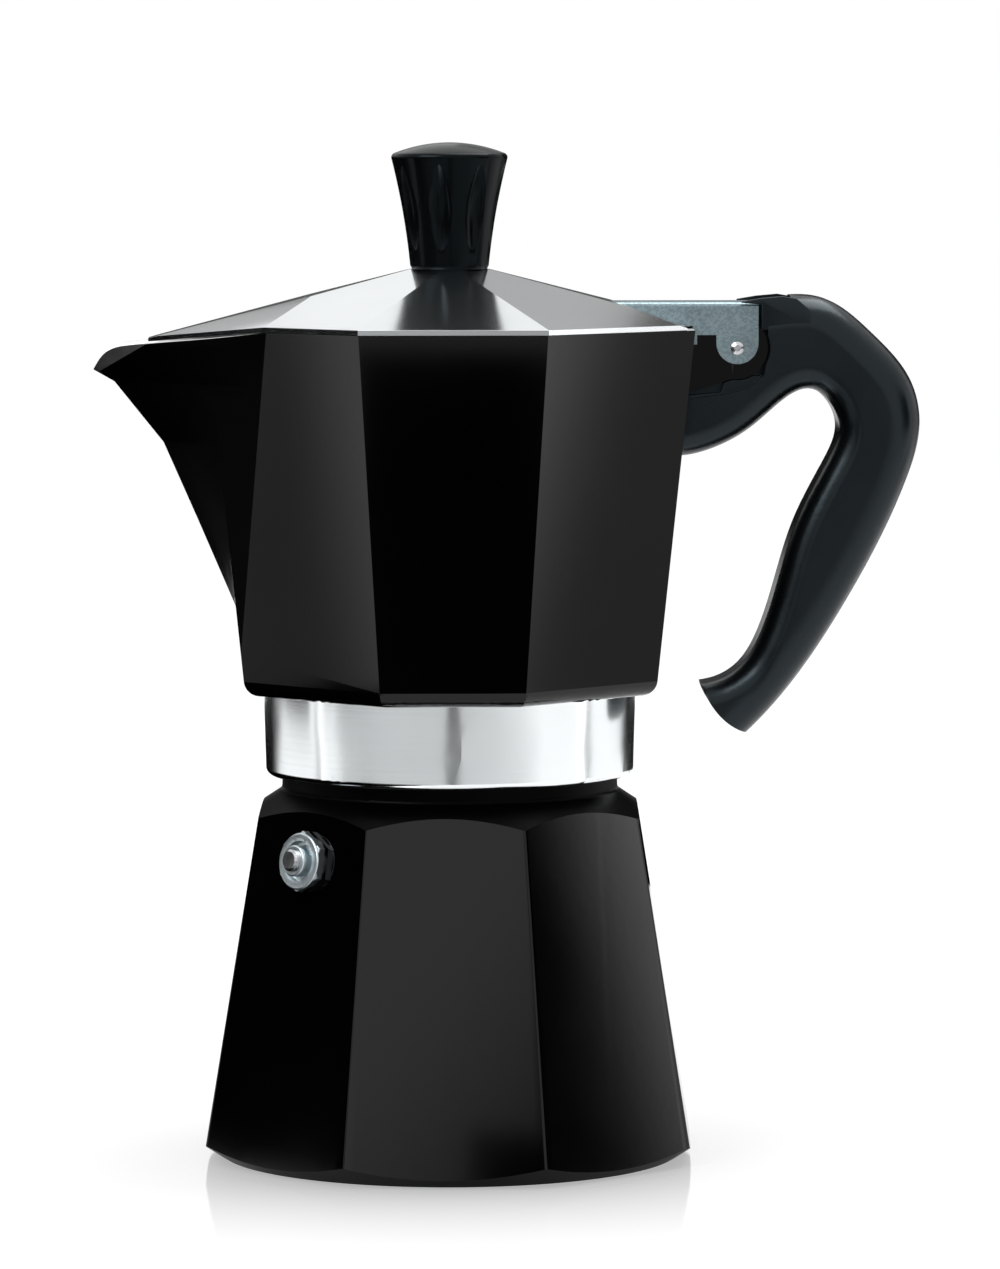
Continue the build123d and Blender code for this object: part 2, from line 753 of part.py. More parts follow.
def lid_form(drop, inset):
    """Faceted roof with a beak over the spout, lowered by `drop` and moved in by `inset`."""
    with BuildPart() as form:
        for height in (lid_foot - drop, lid_top - drop):
            out = (lid_edge_top - drop - height) / lid_slope
            with BuildSketch(Plane.XY.offset(height)):
                Polygon(*octagon(lid_half + out, lid_face + out * lid_face_growth), align=None)
        loft(ruled=True)
        # beak facets, as one long gable
        width = 2 * lid_half
        ridge = lid_edge_top + beak_camber * beak_side_y - beak_fall * (beak_reach - beak_side_x) - drop
        with BuildSketch(Plane.YZ.offset(-beak_reach)):
            Polygon(
                (0, ridge),
                (-width, ridge - width * beak_camber),
                (-width, ridge - width),
                (width, ridge - width),
                (width, ridge - width * beak_camber),
                align=None,
            )
        extrude(amount=2 * width, dir=(1, 0, beak_fall), mode=Mode.INTERSECT)
        # seat of the bracket
        crest = lid_top + above
        with BuildSketch(Plane.XZ):
            Polygon(
                (seat_reach - (crest - seat_z) / seat_slope, crest - drop),
                (seat_reach + (seat_z - lid_foot) / seat_slope, lid_foot - drop),
                (-width, lid_foot - drop),
                (-width, crest - drop),
                align=None,
            )
        extrude(amount=width, both=True, mode=Mode.INTERSECT)
        with BuildSketch(Plane.XY.offset(lid_foot)):
            Polygon(*lid_outline(inset), align=None)
        extrude(amount=crest - lid_foot, mode=Mode.INTERSECT)
    return form.part


# bracket: cheeks outside the ears, plate above, tongue through a slot and under the lid's skin
cheek_near = ear_far + side_fit
cheek_far = cheek_near + cheek_thickness
plate_z = pin_z + bracket_plate_top
plate_under = plate_z - bracket_plate_thickness
bracket_front = pot_rim_flats / 2 + bracket_wall_gap
bracket_back = pin_x + cheek_radius
skin_x = lid_top_half + (lid_top - lid_skin - plate_z) / lid_slope
slot_end = seat_reach + (seat_z - plate_under) / seat_slope

with BuildPart() as lid_bracket:
    with BuildSketch(Plane.XZ):
        Polygon(
            (bracket_back, plate_z),
            (skin_x - skin_gap, plate_z),
            (skin_x - skin_gap, plate_under),
            (bracket_back, plate_under),
            align=None,
        )
    extrude(amount=cheek_far, both=True)
    with BuildSketch(Plane.XZ):
        rise = (tongue_in_lid - skin_gap) * lid_slope - skin_gap
        Polygon(
            (skin_x, plate_z),
            (skin_x - skin_gap, plate_z),
            (skin_x - tongue_in_lid, plate_z + rise),
            (skin_x - tongue_in_lid, plate_under + rise),
            (skin_x - skin_gap, plate_under),
            (skin_x, plate_under),
            align=None,
        )
    extrude(amount=lid_tongue_half, both=True)
    for side in (1, -1):
        with BuildSketch(Plane.XZ.offset(side * cheek_near)):
            with Locations((pin_x, pin_z + cheek_rise)):
                Circle(cheek_radius)
            Polygon(
                (bracket_front, plate_under + bite),
                (bracket_front, plate_under - cheek_drop - bracket_tab_drop),
                (bracket_front + bracket_tab_width, plate_under - cheek_drop - bracket_tab_drop),
                (bracket_front + bracket_tab_width, plate_under - cheek_drop),
                (pin_x - cheek_radius, plate_under - cheek_drop),
                (pin_x - cheek_radius, pin_z + cheek_rise),
                (bracket_back, pin_z + cheek_rise),
                (bracket_back, plate_under + bite),
                align=None,
            )
        extrude(amount=side * cheek_thickness)
    # side walls that stand on the lid's seat
    for side in (1, -1):
        with BuildSketch(Plane.XZ.offset(side * cheek_near)):
            Polygon(
                (slot_end + skin_gap, plate_under + bite),
                (slot_end + skin_gap, plate_under),
                (lid_rear, seat_line(lid_rear) + skin_gap),
                (bracket_front, seat_line(lid_rear) + skin_gap),
                (bracket_front, plate_under + bite),
                align=None,
            )
        extrude(amount=side * cheek_thickness)
    bends = lid_bracket.edges().filter_by(Axis.X).filter_by(
        lambda e: e.center().Z > plate_z - 0.01 and abs(e.center().Y) > cheek_near
    )
    fillet(bends, cheek_thickness * 0.7)
    with BuildSketch(Plane.XZ):
        with Locations((pin_x, pin_z)):
            Circle(pin_radius + pin_fit)
    extrude(amount=cheek_far + overrun, both=True, mode=Mode.SUBTRACT)
    for side in (1, -1):
        rivet_x = skin_x - tongue_in_lid / 2
        rivet_z = lid_top - (rivet_x - lid_top_half) * lid_slope
        slant = Plane(origin=(rivet_x, side * rivet_spacing / 2, rivet_z), z_dir=(lid_slope, 0, 1))
        with BuildSketch(slant):
            Circle(rivet_radius)
        extrude(amount=above, both=True, mode=Mode.SUBTRACT)
lid_bracket.part.label = "lid_bracket"
export_step(lid_bracket.part, "parts/lid_bracket.step")

with BuildPart() as bracket_rivets:
    grip = (lid_skin + skin_gap + bracket_plate_thickness) * cos(atan(lid_slope))
    for side in (1, -1):
        slant = Plane(origin=(rivet_x, side * rivet_spacing / 2, rivet_z), z_dir=(lid_slope, 0, 1))
        with BuildSketch(slant.offset(-grip)):
            Circle(rivet_radius)
        extrude(amount=grip)
        with BuildSketch(slant.offset(-grip)):
            Circle(rivet_head_radius)
        extrude(amount=-rivet_head_height)
bracket_rivets.part.label = "bracket_rivets"
export_step(bracket_rivets.part, "parts/bracket_rivets.step")

notch_half = handle_half + notch_gap
with BuildPart() as lid:
    add(lid_form(0, 0))
    add(lid_form(lid_skin, lid_edge_width), mode=Mode.SUBTRACT)
    # open underside: level at the rim, falling with the spout's lip
    beak_under = beak_edge_top - lid_edge
    with BuildSketch(Plane.XZ):
        Polygon(
            (lid_half + above, lid_bottom),
            (-beak_side_x, lid_bottom),
            (-beak_reach, beak_under),
            (-beak_reach - above, beak_under),
            (-beak_reach - above, lid_foot - above),
            (lid_half + above, lid_foot - above),
            align=None,
        )
    extrude(amount=2 * lid_half, both=True, mode=Mode.SUBTRACT)
    # rear edge cut back between the handle's horns
    with BuildSketch(Plane.XY.offset(lid_foot)):
        with Locations((lid_rear, 0)):
            Rectangle(2 * lid_notch, 2 * notch_half)
    extrude(amount=lid_top - lid_foot, mode=Mode.SUBTRACT)
    # slot for the bracket's tongue
    with BuildSketch(Plane.XZ):
        Polygon(
            (skin_x - skin_gap, plate_under - skin_gap),
            (skin_x - skin_gap, plate_z + skin_gap),
            (slot_end + overrun, plate_z + skin_gap),
            (slot_end + overrun, plate_under - skin_gap),
            align=None,
        )
    extrude(amount=cheek_far + skin_gap, both=True, mode=Mode.SUBTRACT)
    with BuildSketch(Plane.XY.offset(lid_top)):
        Circle(knob_hole_radius)
    extrude(amount=-3 * lid_skin, mode=Mode.SUBTRACT)
    for side in (1, -1):
        slant = Plane(origin=(rivet_x, side * rivet_spacing / 2, rivet_z), z_dir=(lid_slope, 0, 1))
        with BuildSketch(slant):
            Circle(rivet_radius)
        extrude(amount=2 * lid_skin, both=True, mode=Mode.SUBTRACT)
lid.part.label = "lid"
export_step(lid.part, "parts/lid.step")

with BuildPart() as hinge_pin:
    with BuildSketch(Plane.XZ):
        with Locations((pin_x, pin_z)):
            Circle(pin_radius)
    extrude(amount=cheek_far, both=True)
    for side in (1, -1):
        for reach, radius in ((cheek_far, pin_radius), (cheek_far + pin_proud, pin_end_radius)):
            with BuildSketch(Plane.XZ.offset(side * reach)):
                with Locations((pin_x, pin_z)):
                    Circle(radius)
        loft()
hinge_pin.part.label = "hinge_pin"
export_step(hinge_pin.part, "parts/hinge_pin.step")


# ------------------------------------------------------------------ knob
knob_shoulder = knob_height - knob_crown
with BuildPart() as flute:
    with BuildSketch(Plane.XZ):
        with BuildLine():
            ThreePointArc((0, -flute_length / 2), (flute_radius, 0), (0, flute_length / 2))
            Line((0, flute_length / 2), (0, -flute_length / 2))
        make_face()
    revolve(axis=Axis.Z)

with BuildPart() as knob:
    with BuildSketch(Plane.XZ):
        with BuildLine():
            Line((0, lid_top), (knob_foot_radius - knob_foot_height / 2, lid_top))
            Line(
                (knob_foot_radius - knob_foot_height / 2, lid_top),
                (knob_foot_radius, lid_top + knob_foot_height),
            )
            ThreePointArc(
                (knob_foot_radius, lid_top + knob_foot_height),
                (knob_waist_radius, lid_top + knob_height / 2),
                (knob_top_radius, lid_top + knob_shoulder),
            )
            ThreePointArc(
                (knob_top_radius, lid_top + knob_shoulder),
                (knob_top_radius * 0.55, lid_top + knob_height - knob_crown * 0.3),
                (0, lid_top + knob_height),
            )
            Line((0, lid_top + knob_height), (0, lid_top))
        make_face()
    revolve(axis=Axis.Z)
    brow = knob.edges().filter_by(lambda e: e.is_closed).sort_by(Axis.Z)[-1]
    fillet(brow, knob_edge_radius)
    lean = degrees(atan((knob_top_radius - knob_foot_radius) / knob_height))
    cutter = flute.part.rotate(Axis.Y, lean)
    flute_reach = between(knob_foot_radius, knob_top_radius, flute_share) + flute_radius - flute_depth
    with Locations((0, 0, lid_top + knob_height * flute_share)):
        with PolarLocations(flute_reach, flute_count, 270 + flute_phase):
            add(cutter, mode=Mode.SUBTRACT)
    with BuildSketch(Plane.XY.offset(lid_top)):
        Circle(screw_radius)
    extrude(amount=screw_depth + hole_spare, mode=Mode.SUBTRACT)
knob.part.label = "knob"
export_step(knob.part, "parts/knob.step")

washer_top = lid_top - lid_skin
with BuildPart() as knob_washer:
    with BuildSketch(Plane.XY.offset(washer_top)):
        Circle(washer_radius)
        Circle(screw_radius + slide_fit, mode=Mode.SUBTRACT)
    extrude(amount=-washer_thickness)
knob_washer.part.label = "knob_washer"
export_step(knob_washer.part, "parts/knob_washer.step")

with BuildPart() as knob_screw:
    head_top = washer_top - washer_thickness
    with BuildSketch(Plane.XY.offset(head_top - screw_head_height)):
        Circle(screw_head_radius)
    extrude(amount=screw_head_height)
    fillet(knob_screw.edges().group_by(Axis.Z)[0], screw_head_height * 0.6)
    with BuildSketch(Plane.XY.offset(head_top)):
        Circle(screw_radius)
    extrude(amount=lid_top + screw_depth - head_top)
    with BuildSketch(Plane.XY.offset(head_top - screw_head_height)):
        Rectangle(2 * screw_head_radius, screw_slot_width)
    extrude(amount=screw_slot_depth, mode=Mode.SUBTRACT)
knob_screw.part.label = "knob_screw"
export_step(knob_screw.part, "parts/knob_screw.step")


# ------------------------------------------------------------------ handle
def from_pin(points):
    """Points given from the hinge pin, in the handle's side view."""
    return [(pin_x + x, pin_z + z) for x, z in points]


def wall_x(height):
    """Pot's side face plus the gap that the handle's root keeps to it."""
    return pot_foot_flats / 2 + pot_run * (height - collar_top) + wall_gap


handle_back = [
    (0.3, 9.6), (7.8, 10.8), (18.3, 10.6), (29.0, 3.1), (37.4, -7.2), (39.3, -15.8),
    (36.3, -28.7), (23.4, -54.6), (7.3, -77.4), (2.3, -82.5),
]
handle_grip = [
    (-7.4, -71.9), (1.0, -67.9), (6.0, -58.9), (12.8, -37.3), (19.3, -24.4),
    (21.7, -15.8), (16.5, -8.9), (4.4, -15.8), (-5.2, -21.4),
]
pocket_edge = [
    (-21.2, -10.6), (-9.5, -10.6), (-2.6, -9.8), (2.4, -8.6), (5.6, -5.6), (6.4, -1.0),
    (6.4, 12.0), (-21.2, 12.0),
]
ear_opening = [(-13.2, -10.4), (-3.5, -9.5), (0.0, 0.0), (0.0, 10.5), (-13.2, 10.5)]
tongue_neck = [(-10.5, -10.3), (6.0, -10.3), (7.2, 0.0), (0.0, 7.2)]
handle_heel = (-4.2, -77.9)
handle_horn = [(-5.2, -1.5), (0.3, 7.5)]

root_foot = pin_z - root_foot_drop
root_head = pin_z - root_head_drop
pocket_reach = handle_half + above
slot_half = cheek_far + slot_gap
swing_radius = hypot(bracket_back - pin_x, plate_z - pin_z) + swing_gap

with BuildPart() as handle_tongue:
    with BuildSketch(Plane.XZ):
        with Locations((pin_x, pin_z)):
            Circle(knuckle_radius)
        Polygon(*from_pin(tongue_neck + handle_horn[:1]), align=None)
    extrude(amount=tongue_half, both=True)

with BuildPart() as handle:
    with BuildSketch(Plane.XZ):
        with BuildLine():
            Spline(*from_pin(handle_back))
            ThreePointArc(*from_pin([handle_back[-1], handle_heel, handle_grip[0]]))
            Spline(*from_pin(handle_grip), (wall_x(root_foot), root_foot))
            Polyline(
                (wall_x(root_foot), root_foot),
                (wall_x(root_head), root_head),
                *from_pin(handle_horn + handle_back[:1]),
            )
        make_face()
    extrude(amount=handle_half, both=True)
    for radius, pick in ((handle_back_radius, slice(-2, None)), (handle_grip_radius, slice(0, 2))):
        outline = handle.edges().filter_by(GeomType.BSPLINE).filter_by(
            lambda e: abs(e.center().Y) > handle_half - bite
        )
        fillet(outline.sort_by(SortBy.LENGTH)[pick], radius)
    # recesses beside the hinge, then room for the ears
    for side in (1, -1):
        with BuildSketch(Plane.XZ.offset(side * pocket_half)):
            Polygon(*from_pin(pocket_edge), align=None)
        extrude(amount=side * pocket_reach, mode=Mode.SUBTRACT)
        ear_space = ear_outline(ear_gap).moved(Location((0, -side * tongue_half, 0)))
        extrude(ear_space, amount=side * pocket_reach, mode=Mode.SUBTRACT)
        with BuildSketch(Plane.XZ.offset(side * tongue_half)):
            Polygon(*from_pin(ear_opening), align=None)
        extrude(amount=side * pocket_reach, mode=Mode.SUBTRACT)
    # slot in which the lid's bracket swings
    with BuildSketch(Plane.XZ):
        with Locations((pin_x, pin_z)):
            Circle(swing_radius)
        with Locations((pin_x, pin_z - swing_radius - swing_floor)):
            Rectangle(2 * swing_radius, 2 * swing_radius, mode=Mode.SUBTRACT)
        with Locations((pin_x, pin_z + swing_radius)):
            Rectangle(2 * swing_radius, 2 * swing_radius)
    extrude(amount=slot_half, both=True, mode=Mode.SUBTRACT)
    add(handle_tongue.part)
    with BuildSketch(Plane.XZ):
        with Locations((pin_x, pin_z)):
            Circle(pin_radius)
    extrude(amount=tongue_half, both=True, mode=Mode.SUBTRACT)
handle.part.label = "handle"
export_step(handle.part, "parts/handle.step")
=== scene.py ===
"""Looks of an eight-sided stove-top moka pot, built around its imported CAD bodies.

Each sub-assembly is a class that refines its castings and dresses them; each finish is a frozen
dataclass that builds one procedural material. Lengths in the classes are in metres.
"""

import logging
import math
from dataclasses import dataclass, field
from enum import Enum, IntEnum
from typing import Callable, Iterable

import bmesh
import bpy
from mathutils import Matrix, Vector


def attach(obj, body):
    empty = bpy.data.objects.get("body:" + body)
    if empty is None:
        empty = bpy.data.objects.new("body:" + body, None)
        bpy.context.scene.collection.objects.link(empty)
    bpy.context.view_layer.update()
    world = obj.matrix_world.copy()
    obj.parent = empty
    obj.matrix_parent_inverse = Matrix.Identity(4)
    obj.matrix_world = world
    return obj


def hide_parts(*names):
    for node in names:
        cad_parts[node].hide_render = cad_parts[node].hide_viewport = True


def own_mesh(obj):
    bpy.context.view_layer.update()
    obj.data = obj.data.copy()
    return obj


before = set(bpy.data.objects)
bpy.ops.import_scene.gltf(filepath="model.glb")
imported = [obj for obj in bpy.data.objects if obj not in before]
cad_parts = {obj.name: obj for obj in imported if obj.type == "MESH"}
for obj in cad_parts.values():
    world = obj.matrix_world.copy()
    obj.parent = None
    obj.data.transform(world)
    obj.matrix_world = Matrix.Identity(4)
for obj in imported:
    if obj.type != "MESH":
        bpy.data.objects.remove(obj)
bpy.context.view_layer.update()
MM = 0.001

log = logging.getLogger("moka_pot")


class Body(str, Enum):
    """Rigid bodies of the pot."""

    BASE = "base"
    PLUNGER = "plunger"
    FUNNEL = "funnel"
    SEAL = "seal"
    UPPER_POT = "upper_pot"
    LID = "lid"


class Grain(Enum):
    """Direction in which a metal surface was worked."""

    TURNED = (2.0, 2.0, 1400.0)
    BRUSHED = (12.0, 700.0, 12.0)
    CAST = (260.0, 260.0, 260.0)


class Skin(IntEnum):
    """Material slots of the two enamelled castings."""

    ENAMEL = 0
    CAST = 1
    TURNED = 2
    THREADED = 3
    # painted shade: the enamel with its gloss dulled, for faces that should look shaded
    SHADED_ENAMEL = 4


Colour = tuple[float, float, float]  # linear red, green and blue
Point = tuple[float, float, float]  # X, Y and Z
PlanePoint = tuple[float, float]  # X and Z
Span = tuple[float, float]  # from and to


def make_object(work: bmesh.types.BMesh, name: str, *materials: bpy.types.Material) -> bpy.types.Object:
    """Make an object of a finished mesh.

    Args:
        work: The finished mesh, which is freed.
        name: Name of the object and its mesh.
        *materials: Its material slots.

    Returns:
        The object, linked to the scene and at the origin.
    """
    mesh = bpy.data.meshes.new(name)
    work.to_mesh(mesh)
    work.free()
    for material in materials:
        mesh.materials.append(material)
    piece = bpy.data.objects.new(name, mesh)
    bpy.context.collection.objects.link(piece)
    return piece


# ---------------------------------------------------------------- materials
class NodeTree:
    """A cleared node tree, with short calls for adding and joining nodes."""

    def __init__(self, tree: bpy.types.NodeTree, output_kind: str) -> None:
        """Clear a tree and give it an output.

        Args:
            tree: Tree of a material or a world.
            output_kind: Type name of its output node.
        """
        self.tree = tree
        self.tree.nodes.clear()
        self.output = self.add(output_kind)

    def add(self, kind: str, **settings: object) -> bpy.types.Node:
        """Add a node.

        Args:
            kind: Type name of the node.
            **settings: Properties of the node.

        Returns:
            The new node.
        """
        node = self.tree.nodes.new(kind)
        for key, value in settings.items():
            setattr(node, key, value)
        return node

    def link(self, source: bpy.types.NodeSocket, target: bpy.types.NodeSocket) -> None:
        """Join two sockets."""
        self.tree.links.new(source, target)

    def math(self, operation: str, *terms: bpy.types.NodeSocket | float) -> bpy.types.NodeSocket:
        """Arithmetic on sockets and numbers.

        Args:
            operation: Operation of the Math node.
            *terms: Its inputs.

        Returns:
            The value socket.
        """
        node = self.add("ShaderNodeMath", operation=operation)
        for term, target in zip(terms, node.inputs):
            if isinstance(term, bpy.types.NodeSocket):
                self.link(term, target)
            else:
                target.default_value = term
        return node.outputs["Value"]


class Shade(NodeTree):
    """One material, with short calls for what the finishes share."""

    low_noise: float = 0.3
    high_noise: float = 0.7

    def __init__(self, name: str) -> None:
        """Start an empty material.

        Args:
            name: Name of the material.
        """
        self.material = bpy.data.materials.new(name)
        self.material.use_nodes = True
        super().__init__(self.material.node_tree, "ShaderNodeOutputMaterial")
        self.coordinates = self.add("ShaderNodeTexCoord").outputs["Object"]

    def stretched(self, scale: Point) -> bpy.types.NodeSocket:
        """Object coordinates scaled by axis.

        Args:
            scale: Scale along X, Y and Z.

        Returns:
            The vector socket.
        """
        mapping = self.add("ShaderNodeMapping")
        mapping.inputs["Scale"].default_value = scale
        self.link(self.coordinates, mapping.inputs["Vector"])
        return mapping.outputs["Vector"]

    def noise(
        self, scale: Point | float, detail: float = 3.0, roughness: float = 0.5
    ) -> bpy.types.NodeSocket:
        """Noise on stretched object coordinates.

        Args:
            scale: Cells per metre, along X, Y and Z or the same each way.
            detail: Octaves.
            roughness: Weight of the finer octaves.

        Returns:
            The noise value socket.
        """
        texture = self.add("ShaderNodeTexNoise")
        texture.inputs["Scale"].default_value = 1.0
        texture.inputs["Detail"].default_value = detail
        texture.inputs["Roughness"].default_value = roughness
        by_axis = scale if isinstance(scale, tuple) else (scale,) * 3
        self.link(self.stretched(by_axis), texture.inputs["Vector"])
        return texture.outputs["Fac"]

    def roughness(self, noise: bpy.types.NodeSocket, usual: float, wear: Span) -> bpy.types.NodeSocket:
        """Roughness that follows a noise.

        Args:
            noise: Socket with the noise.
            usual: Roughness of the finish as a whole.
            wear: Its multiples where the noise is low and where it is high.

        Returns:
            The roughness socket.
        """
        node = self.add("ShaderNodeMapRange")
        node.inputs["From Min"].default_value = self.low_noise
        node.inputs["From Max"].default_value = self.high_noise
        node.inputs["To Min"].default_value = usual * wear[0]
        node.inputs["To Max"].default_value = usual * wear[1]
        self.link(noise, node.inputs["Value"])
        return node.outputs["Result"]

    def blend(
        self, factor: bpy.types.NodeSocket, first: Colour, second: Colour
    ) -> bpy.types.NodeSocket:
        """Colour between two colours.

        Args:
            factor: Socket with the share of the second colour.
            first: Linear colour where the noise is low.
            second: Linear colour where the noise is high.

        Returns:
            The colour socket.
        """
        ramp = self.add("ShaderNodeValToRGB")
        stops = ((self.low_noise, first), (self.high_noise, second))
        for element, (position, colour) in zip(ramp.color_ramp.elements, stops):
            element.position = position
            element.color = (*colour, 1.0)
        self.link(factor, ramp.inputs["Fac"])
        return ramp.outputs["Color"]

    def bump(self, height: bpy.types.NodeSocket, distance: float) -> bpy.types.NodeSocket:
        """Bumped normal.

        Args:
            height: Socket with the height.
            distance: Depth of the bumps in metres.

        Returns:
            The normal socket.
        """
        node = self.add("ShaderNodeBump")
        node.inputs["Distance"].default_value = distance
        node.inputs["Strength"].default_value = 1.0
        self.link(height, node.inputs["Height"])
        return node.outputs["Normal"]

    def surface(self, **sockets: object) -> bpy.types.Material:
        """Finish with a Principled shader.

        Args:
            **sockets: Values or sockets by input name, spaces written as underscores.

        Returns:
            The material.
        """
        shader = self.add("ShaderNodeBsdfPrincipled")
        for key, value in sockets.items():
            target = shader.inputs[key.replace("_", " ")]
            if isinstance(value, bpy.types.NodeSocket):
                self.link(value, target)
            elif isinstance(value, tuple) and len(value) == 3 and target.type == "RGBA":
                target.default_value = (*value, 1.0)
            else:
                target.default_value = value
        self.link(shader.outputs["BSDF"], self.output.inputs["Surface"])
        return self.material


@dataclass(frozen=True)
class GlossPaint:
    """Baked black enamel with a faint orange peel."""

    name: str = "gloss_black_enamel"
    colour: Colour = (0.0004, 0.0004, 0.0004)
    worn: Colour = (0.0009, 0.0009, 0.0009)
    roughness: float = 0.06
    wear: Span = (0.8, 1.4)
    specular: float = 0.26
    peel_scale: float = 420.0
    peel_depth: float = 0.0012 * MM
    haze_scale: float = 18.0

    def build(self) -> bpy.types.Material:
        """Build the material.

        Returns:
            The material.
        """
        shade = Shade(self.name)
        peel = shade.noise(self.peel_scale, detail=1.5)
        haze = shade.noise(self.haze_scale, detail=4.0)
        return shade.surface(
            Base_Color=shade.blend(haze, self.colour, self.worn),
            Roughness=shade.roughness(haze, self.roughness, self.wear),
            Specular_IOR_Level=self.specular,
            Normal=shade.bump(peel, self.peel_depth),
        )


@dataclass(frozen=True)
class BareAluminium:
    """Bare aluminium with the marks of how it was worked."""

    name: str
    grain: Grain
    light: Colour = (0.86, 0.89, 0.90)
    dark: Colour = (0.80, 0.83, 0.85)
    roughness: float = 0.16
    wear: Span = (0.9, 1.12)
    depth: float = 0.0015 * MM
    cloud_scale: float = 30.0

    def build(self) -> bpy.types.Material:
        """Build the material.

        Returns:
            The material.
        """
        shade = Shade(self.name)
        marks = shade.noise(self.grain.value, detail=3.0, roughness=0.6)
        cloud = shade.noise(self.cloud_scale, detail=3.0)
        return shade.surface(
            Base_Color=shade.blend(cloud, self.dark, self.light),
            Metallic=1.0,
            Roughness=shade.roughness(marks, self.roughness, self.wear),
            Normal=shade.bump(marks, self.depth),
        )


@dataclass(frozen=True)
class ThreadedAluminium:
    """Bare aluminium with a right-hand screw thread round the Z axis, and painted shade in its grooves.
    """

    name: str = "threaded_aluminium"
    colour: Colour = (0.80, 0.82, 0.83)
    # painted shade: colour of the thread's grooves
    groove_shade: Colour = (0.55, 0.57, 0.58)
    roughness: float = 0.2
    pitch: float = 3.0 * MM
    depth: float = 0.9 * MM

    def build(self) -> bpy.types.Material:
        """Build the material.

        Returns:
            The material.
        """
        shade = Shade(self.name)
        parts = shade.add("ShaderNodeSeparateXYZ")
        shade.link(shade.coordinates, parts.inputs[0])
        angle = shade.math("ARCTAN2", parts.outputs["Y"], parts.outputs["X"])
        turns = shade.math("DIVIDE", angle, math.tau)
        climb = shade.math("DIVIDE", parts.outputs["Z"], self.pitch)
        phase = shade.math("SUBTRACT", climb, turns)
        half_turn = 0.5
        ridge = shade.math("PINGPONG", phase, half_turn)
        crest = shade.add("ShaderNodeMapRange", interpolation_type="SMOOTHSTEP")
        crest.inputs["From Max"].default_value = half_turn
        shade.link(ridge, crest.inputs["Value"])
        # The grooves' darker colour is painted shade; the crests keep the metal's colour.
        return shade.surface(
            Base_Color=shade.blend(crest.outputs["Result"], self.groove_shade, self.colour),
            Metallic=1.0,
            Roughness=self.roughness,
            Normal=shade.bump(crest.outputs["Result"], self.depth),
        )


@dataclass(frozen=True)
class MouldedPlastic:
    """Black thermoset with a fine satin mould texture."""

    name: str
    colour: Colour = (0.0008, 0.0010, 0.0012)
    faded: Colour = (0.0018, 0.0022, 0.0026)
    tint: Colour = (0.72, 0.90, 1.0)
    roughness: float = 0.3
    wear: Span = (0.9, 1.15)
    specular: float = 0.42
    texture_scale: float = 1500.0
    depth: float = 0.006 * MM
    cloud_scale: Point = (45.0, 45.0, 30.0)

    def build(self) -> bpy.types.Material:
        """Build the material.

        Returns:
            The material.
        """
        shade = Shade(self.name)
        texture = shade.noise(self.texture_scale, detail=2.0)
        cloud = shade.noise(self.cloud_scale, detail=3.0)
        return shade.surface(
            Base_Color=shade.blend(cloud, self.colour, self.faded),
            Roughness=shade.roughness(cloud, self.roughness, self.wear),
            Specular_IOR_Level=self.specular,
            Specular_Tint=self.tint,
            Normal=shade.bump(texture, self.depth),
        )


@dataclass(frozen=True)
class PlatedMetal:
    """Plated or galvanised metal with crystals of slightly different tone."""

    name: str
    light: Colour
    dark: Colour
    roughness: float
    wear: Span = (0.8, 1.3)
    crystal: float = 700.0
    scuff_scale: float = 90.0
    depth: float = 0.003 * MM

    def build(self) -> bpy.types.Material:
        """Build the material.

        Returns:
            The material.
        """
        shade = Shade(self.name)
        cells = shade.add("ShaderNodeTexVoronoi")
        cells.inputs["Scale"].default_value = self.crystal
        shade.link(shade.coordinates, cells.inputs["Vector"])
        tone = shade.add("ShaderNodeSeparateColor")
        shade.link(cells.outputs["Color"], tone.inputs["Color"])
        scuff = shade.noise(self.scuff_scale, detail=4.0)
        return shade.surface(
            Base_Color=shade.blend(tone.outputs["Red"], self.dark, self.light),
            Metallic=1.0,
            Roughness=shade.roughness(scuff, self.roughness, self.wear),
            Normal=shade.bump(scuff, self.depth),
        )


@dataclass(frozen=True)
class Silicone:
    """Off-white silicone rubber."""

    name: str = "seal_silicone"
    colour: Colour = (0.70, 0.68, 0.62)
    stained: Colour = (0.60, 0.55, 0.46)
    roughness: float = 0.5
    wear: Span = (1.0, 1.24)
    cloud_scale: float = 60.0
    grain_scale: float = 2500.0
    depth: float = 0.004 * MM

    def build(self) -> bpy.types.Material:
        """Build the material.

        Returns:
            The material.
        """
        shade = Shade(self.name)
        cloud = shade.noise(self.cloud_scale, detail=4.0)
        grain = shade.noise(self.grain_scale, detail=2.0)
        return shade.surface(
            Base_Color=shade.blend(cloud, self.stained, self.colour),
            Roughness=shade.roughness(cloud, self.roughness, self.wear),
            Normal=shade.bump(grain, self.depth),
        )


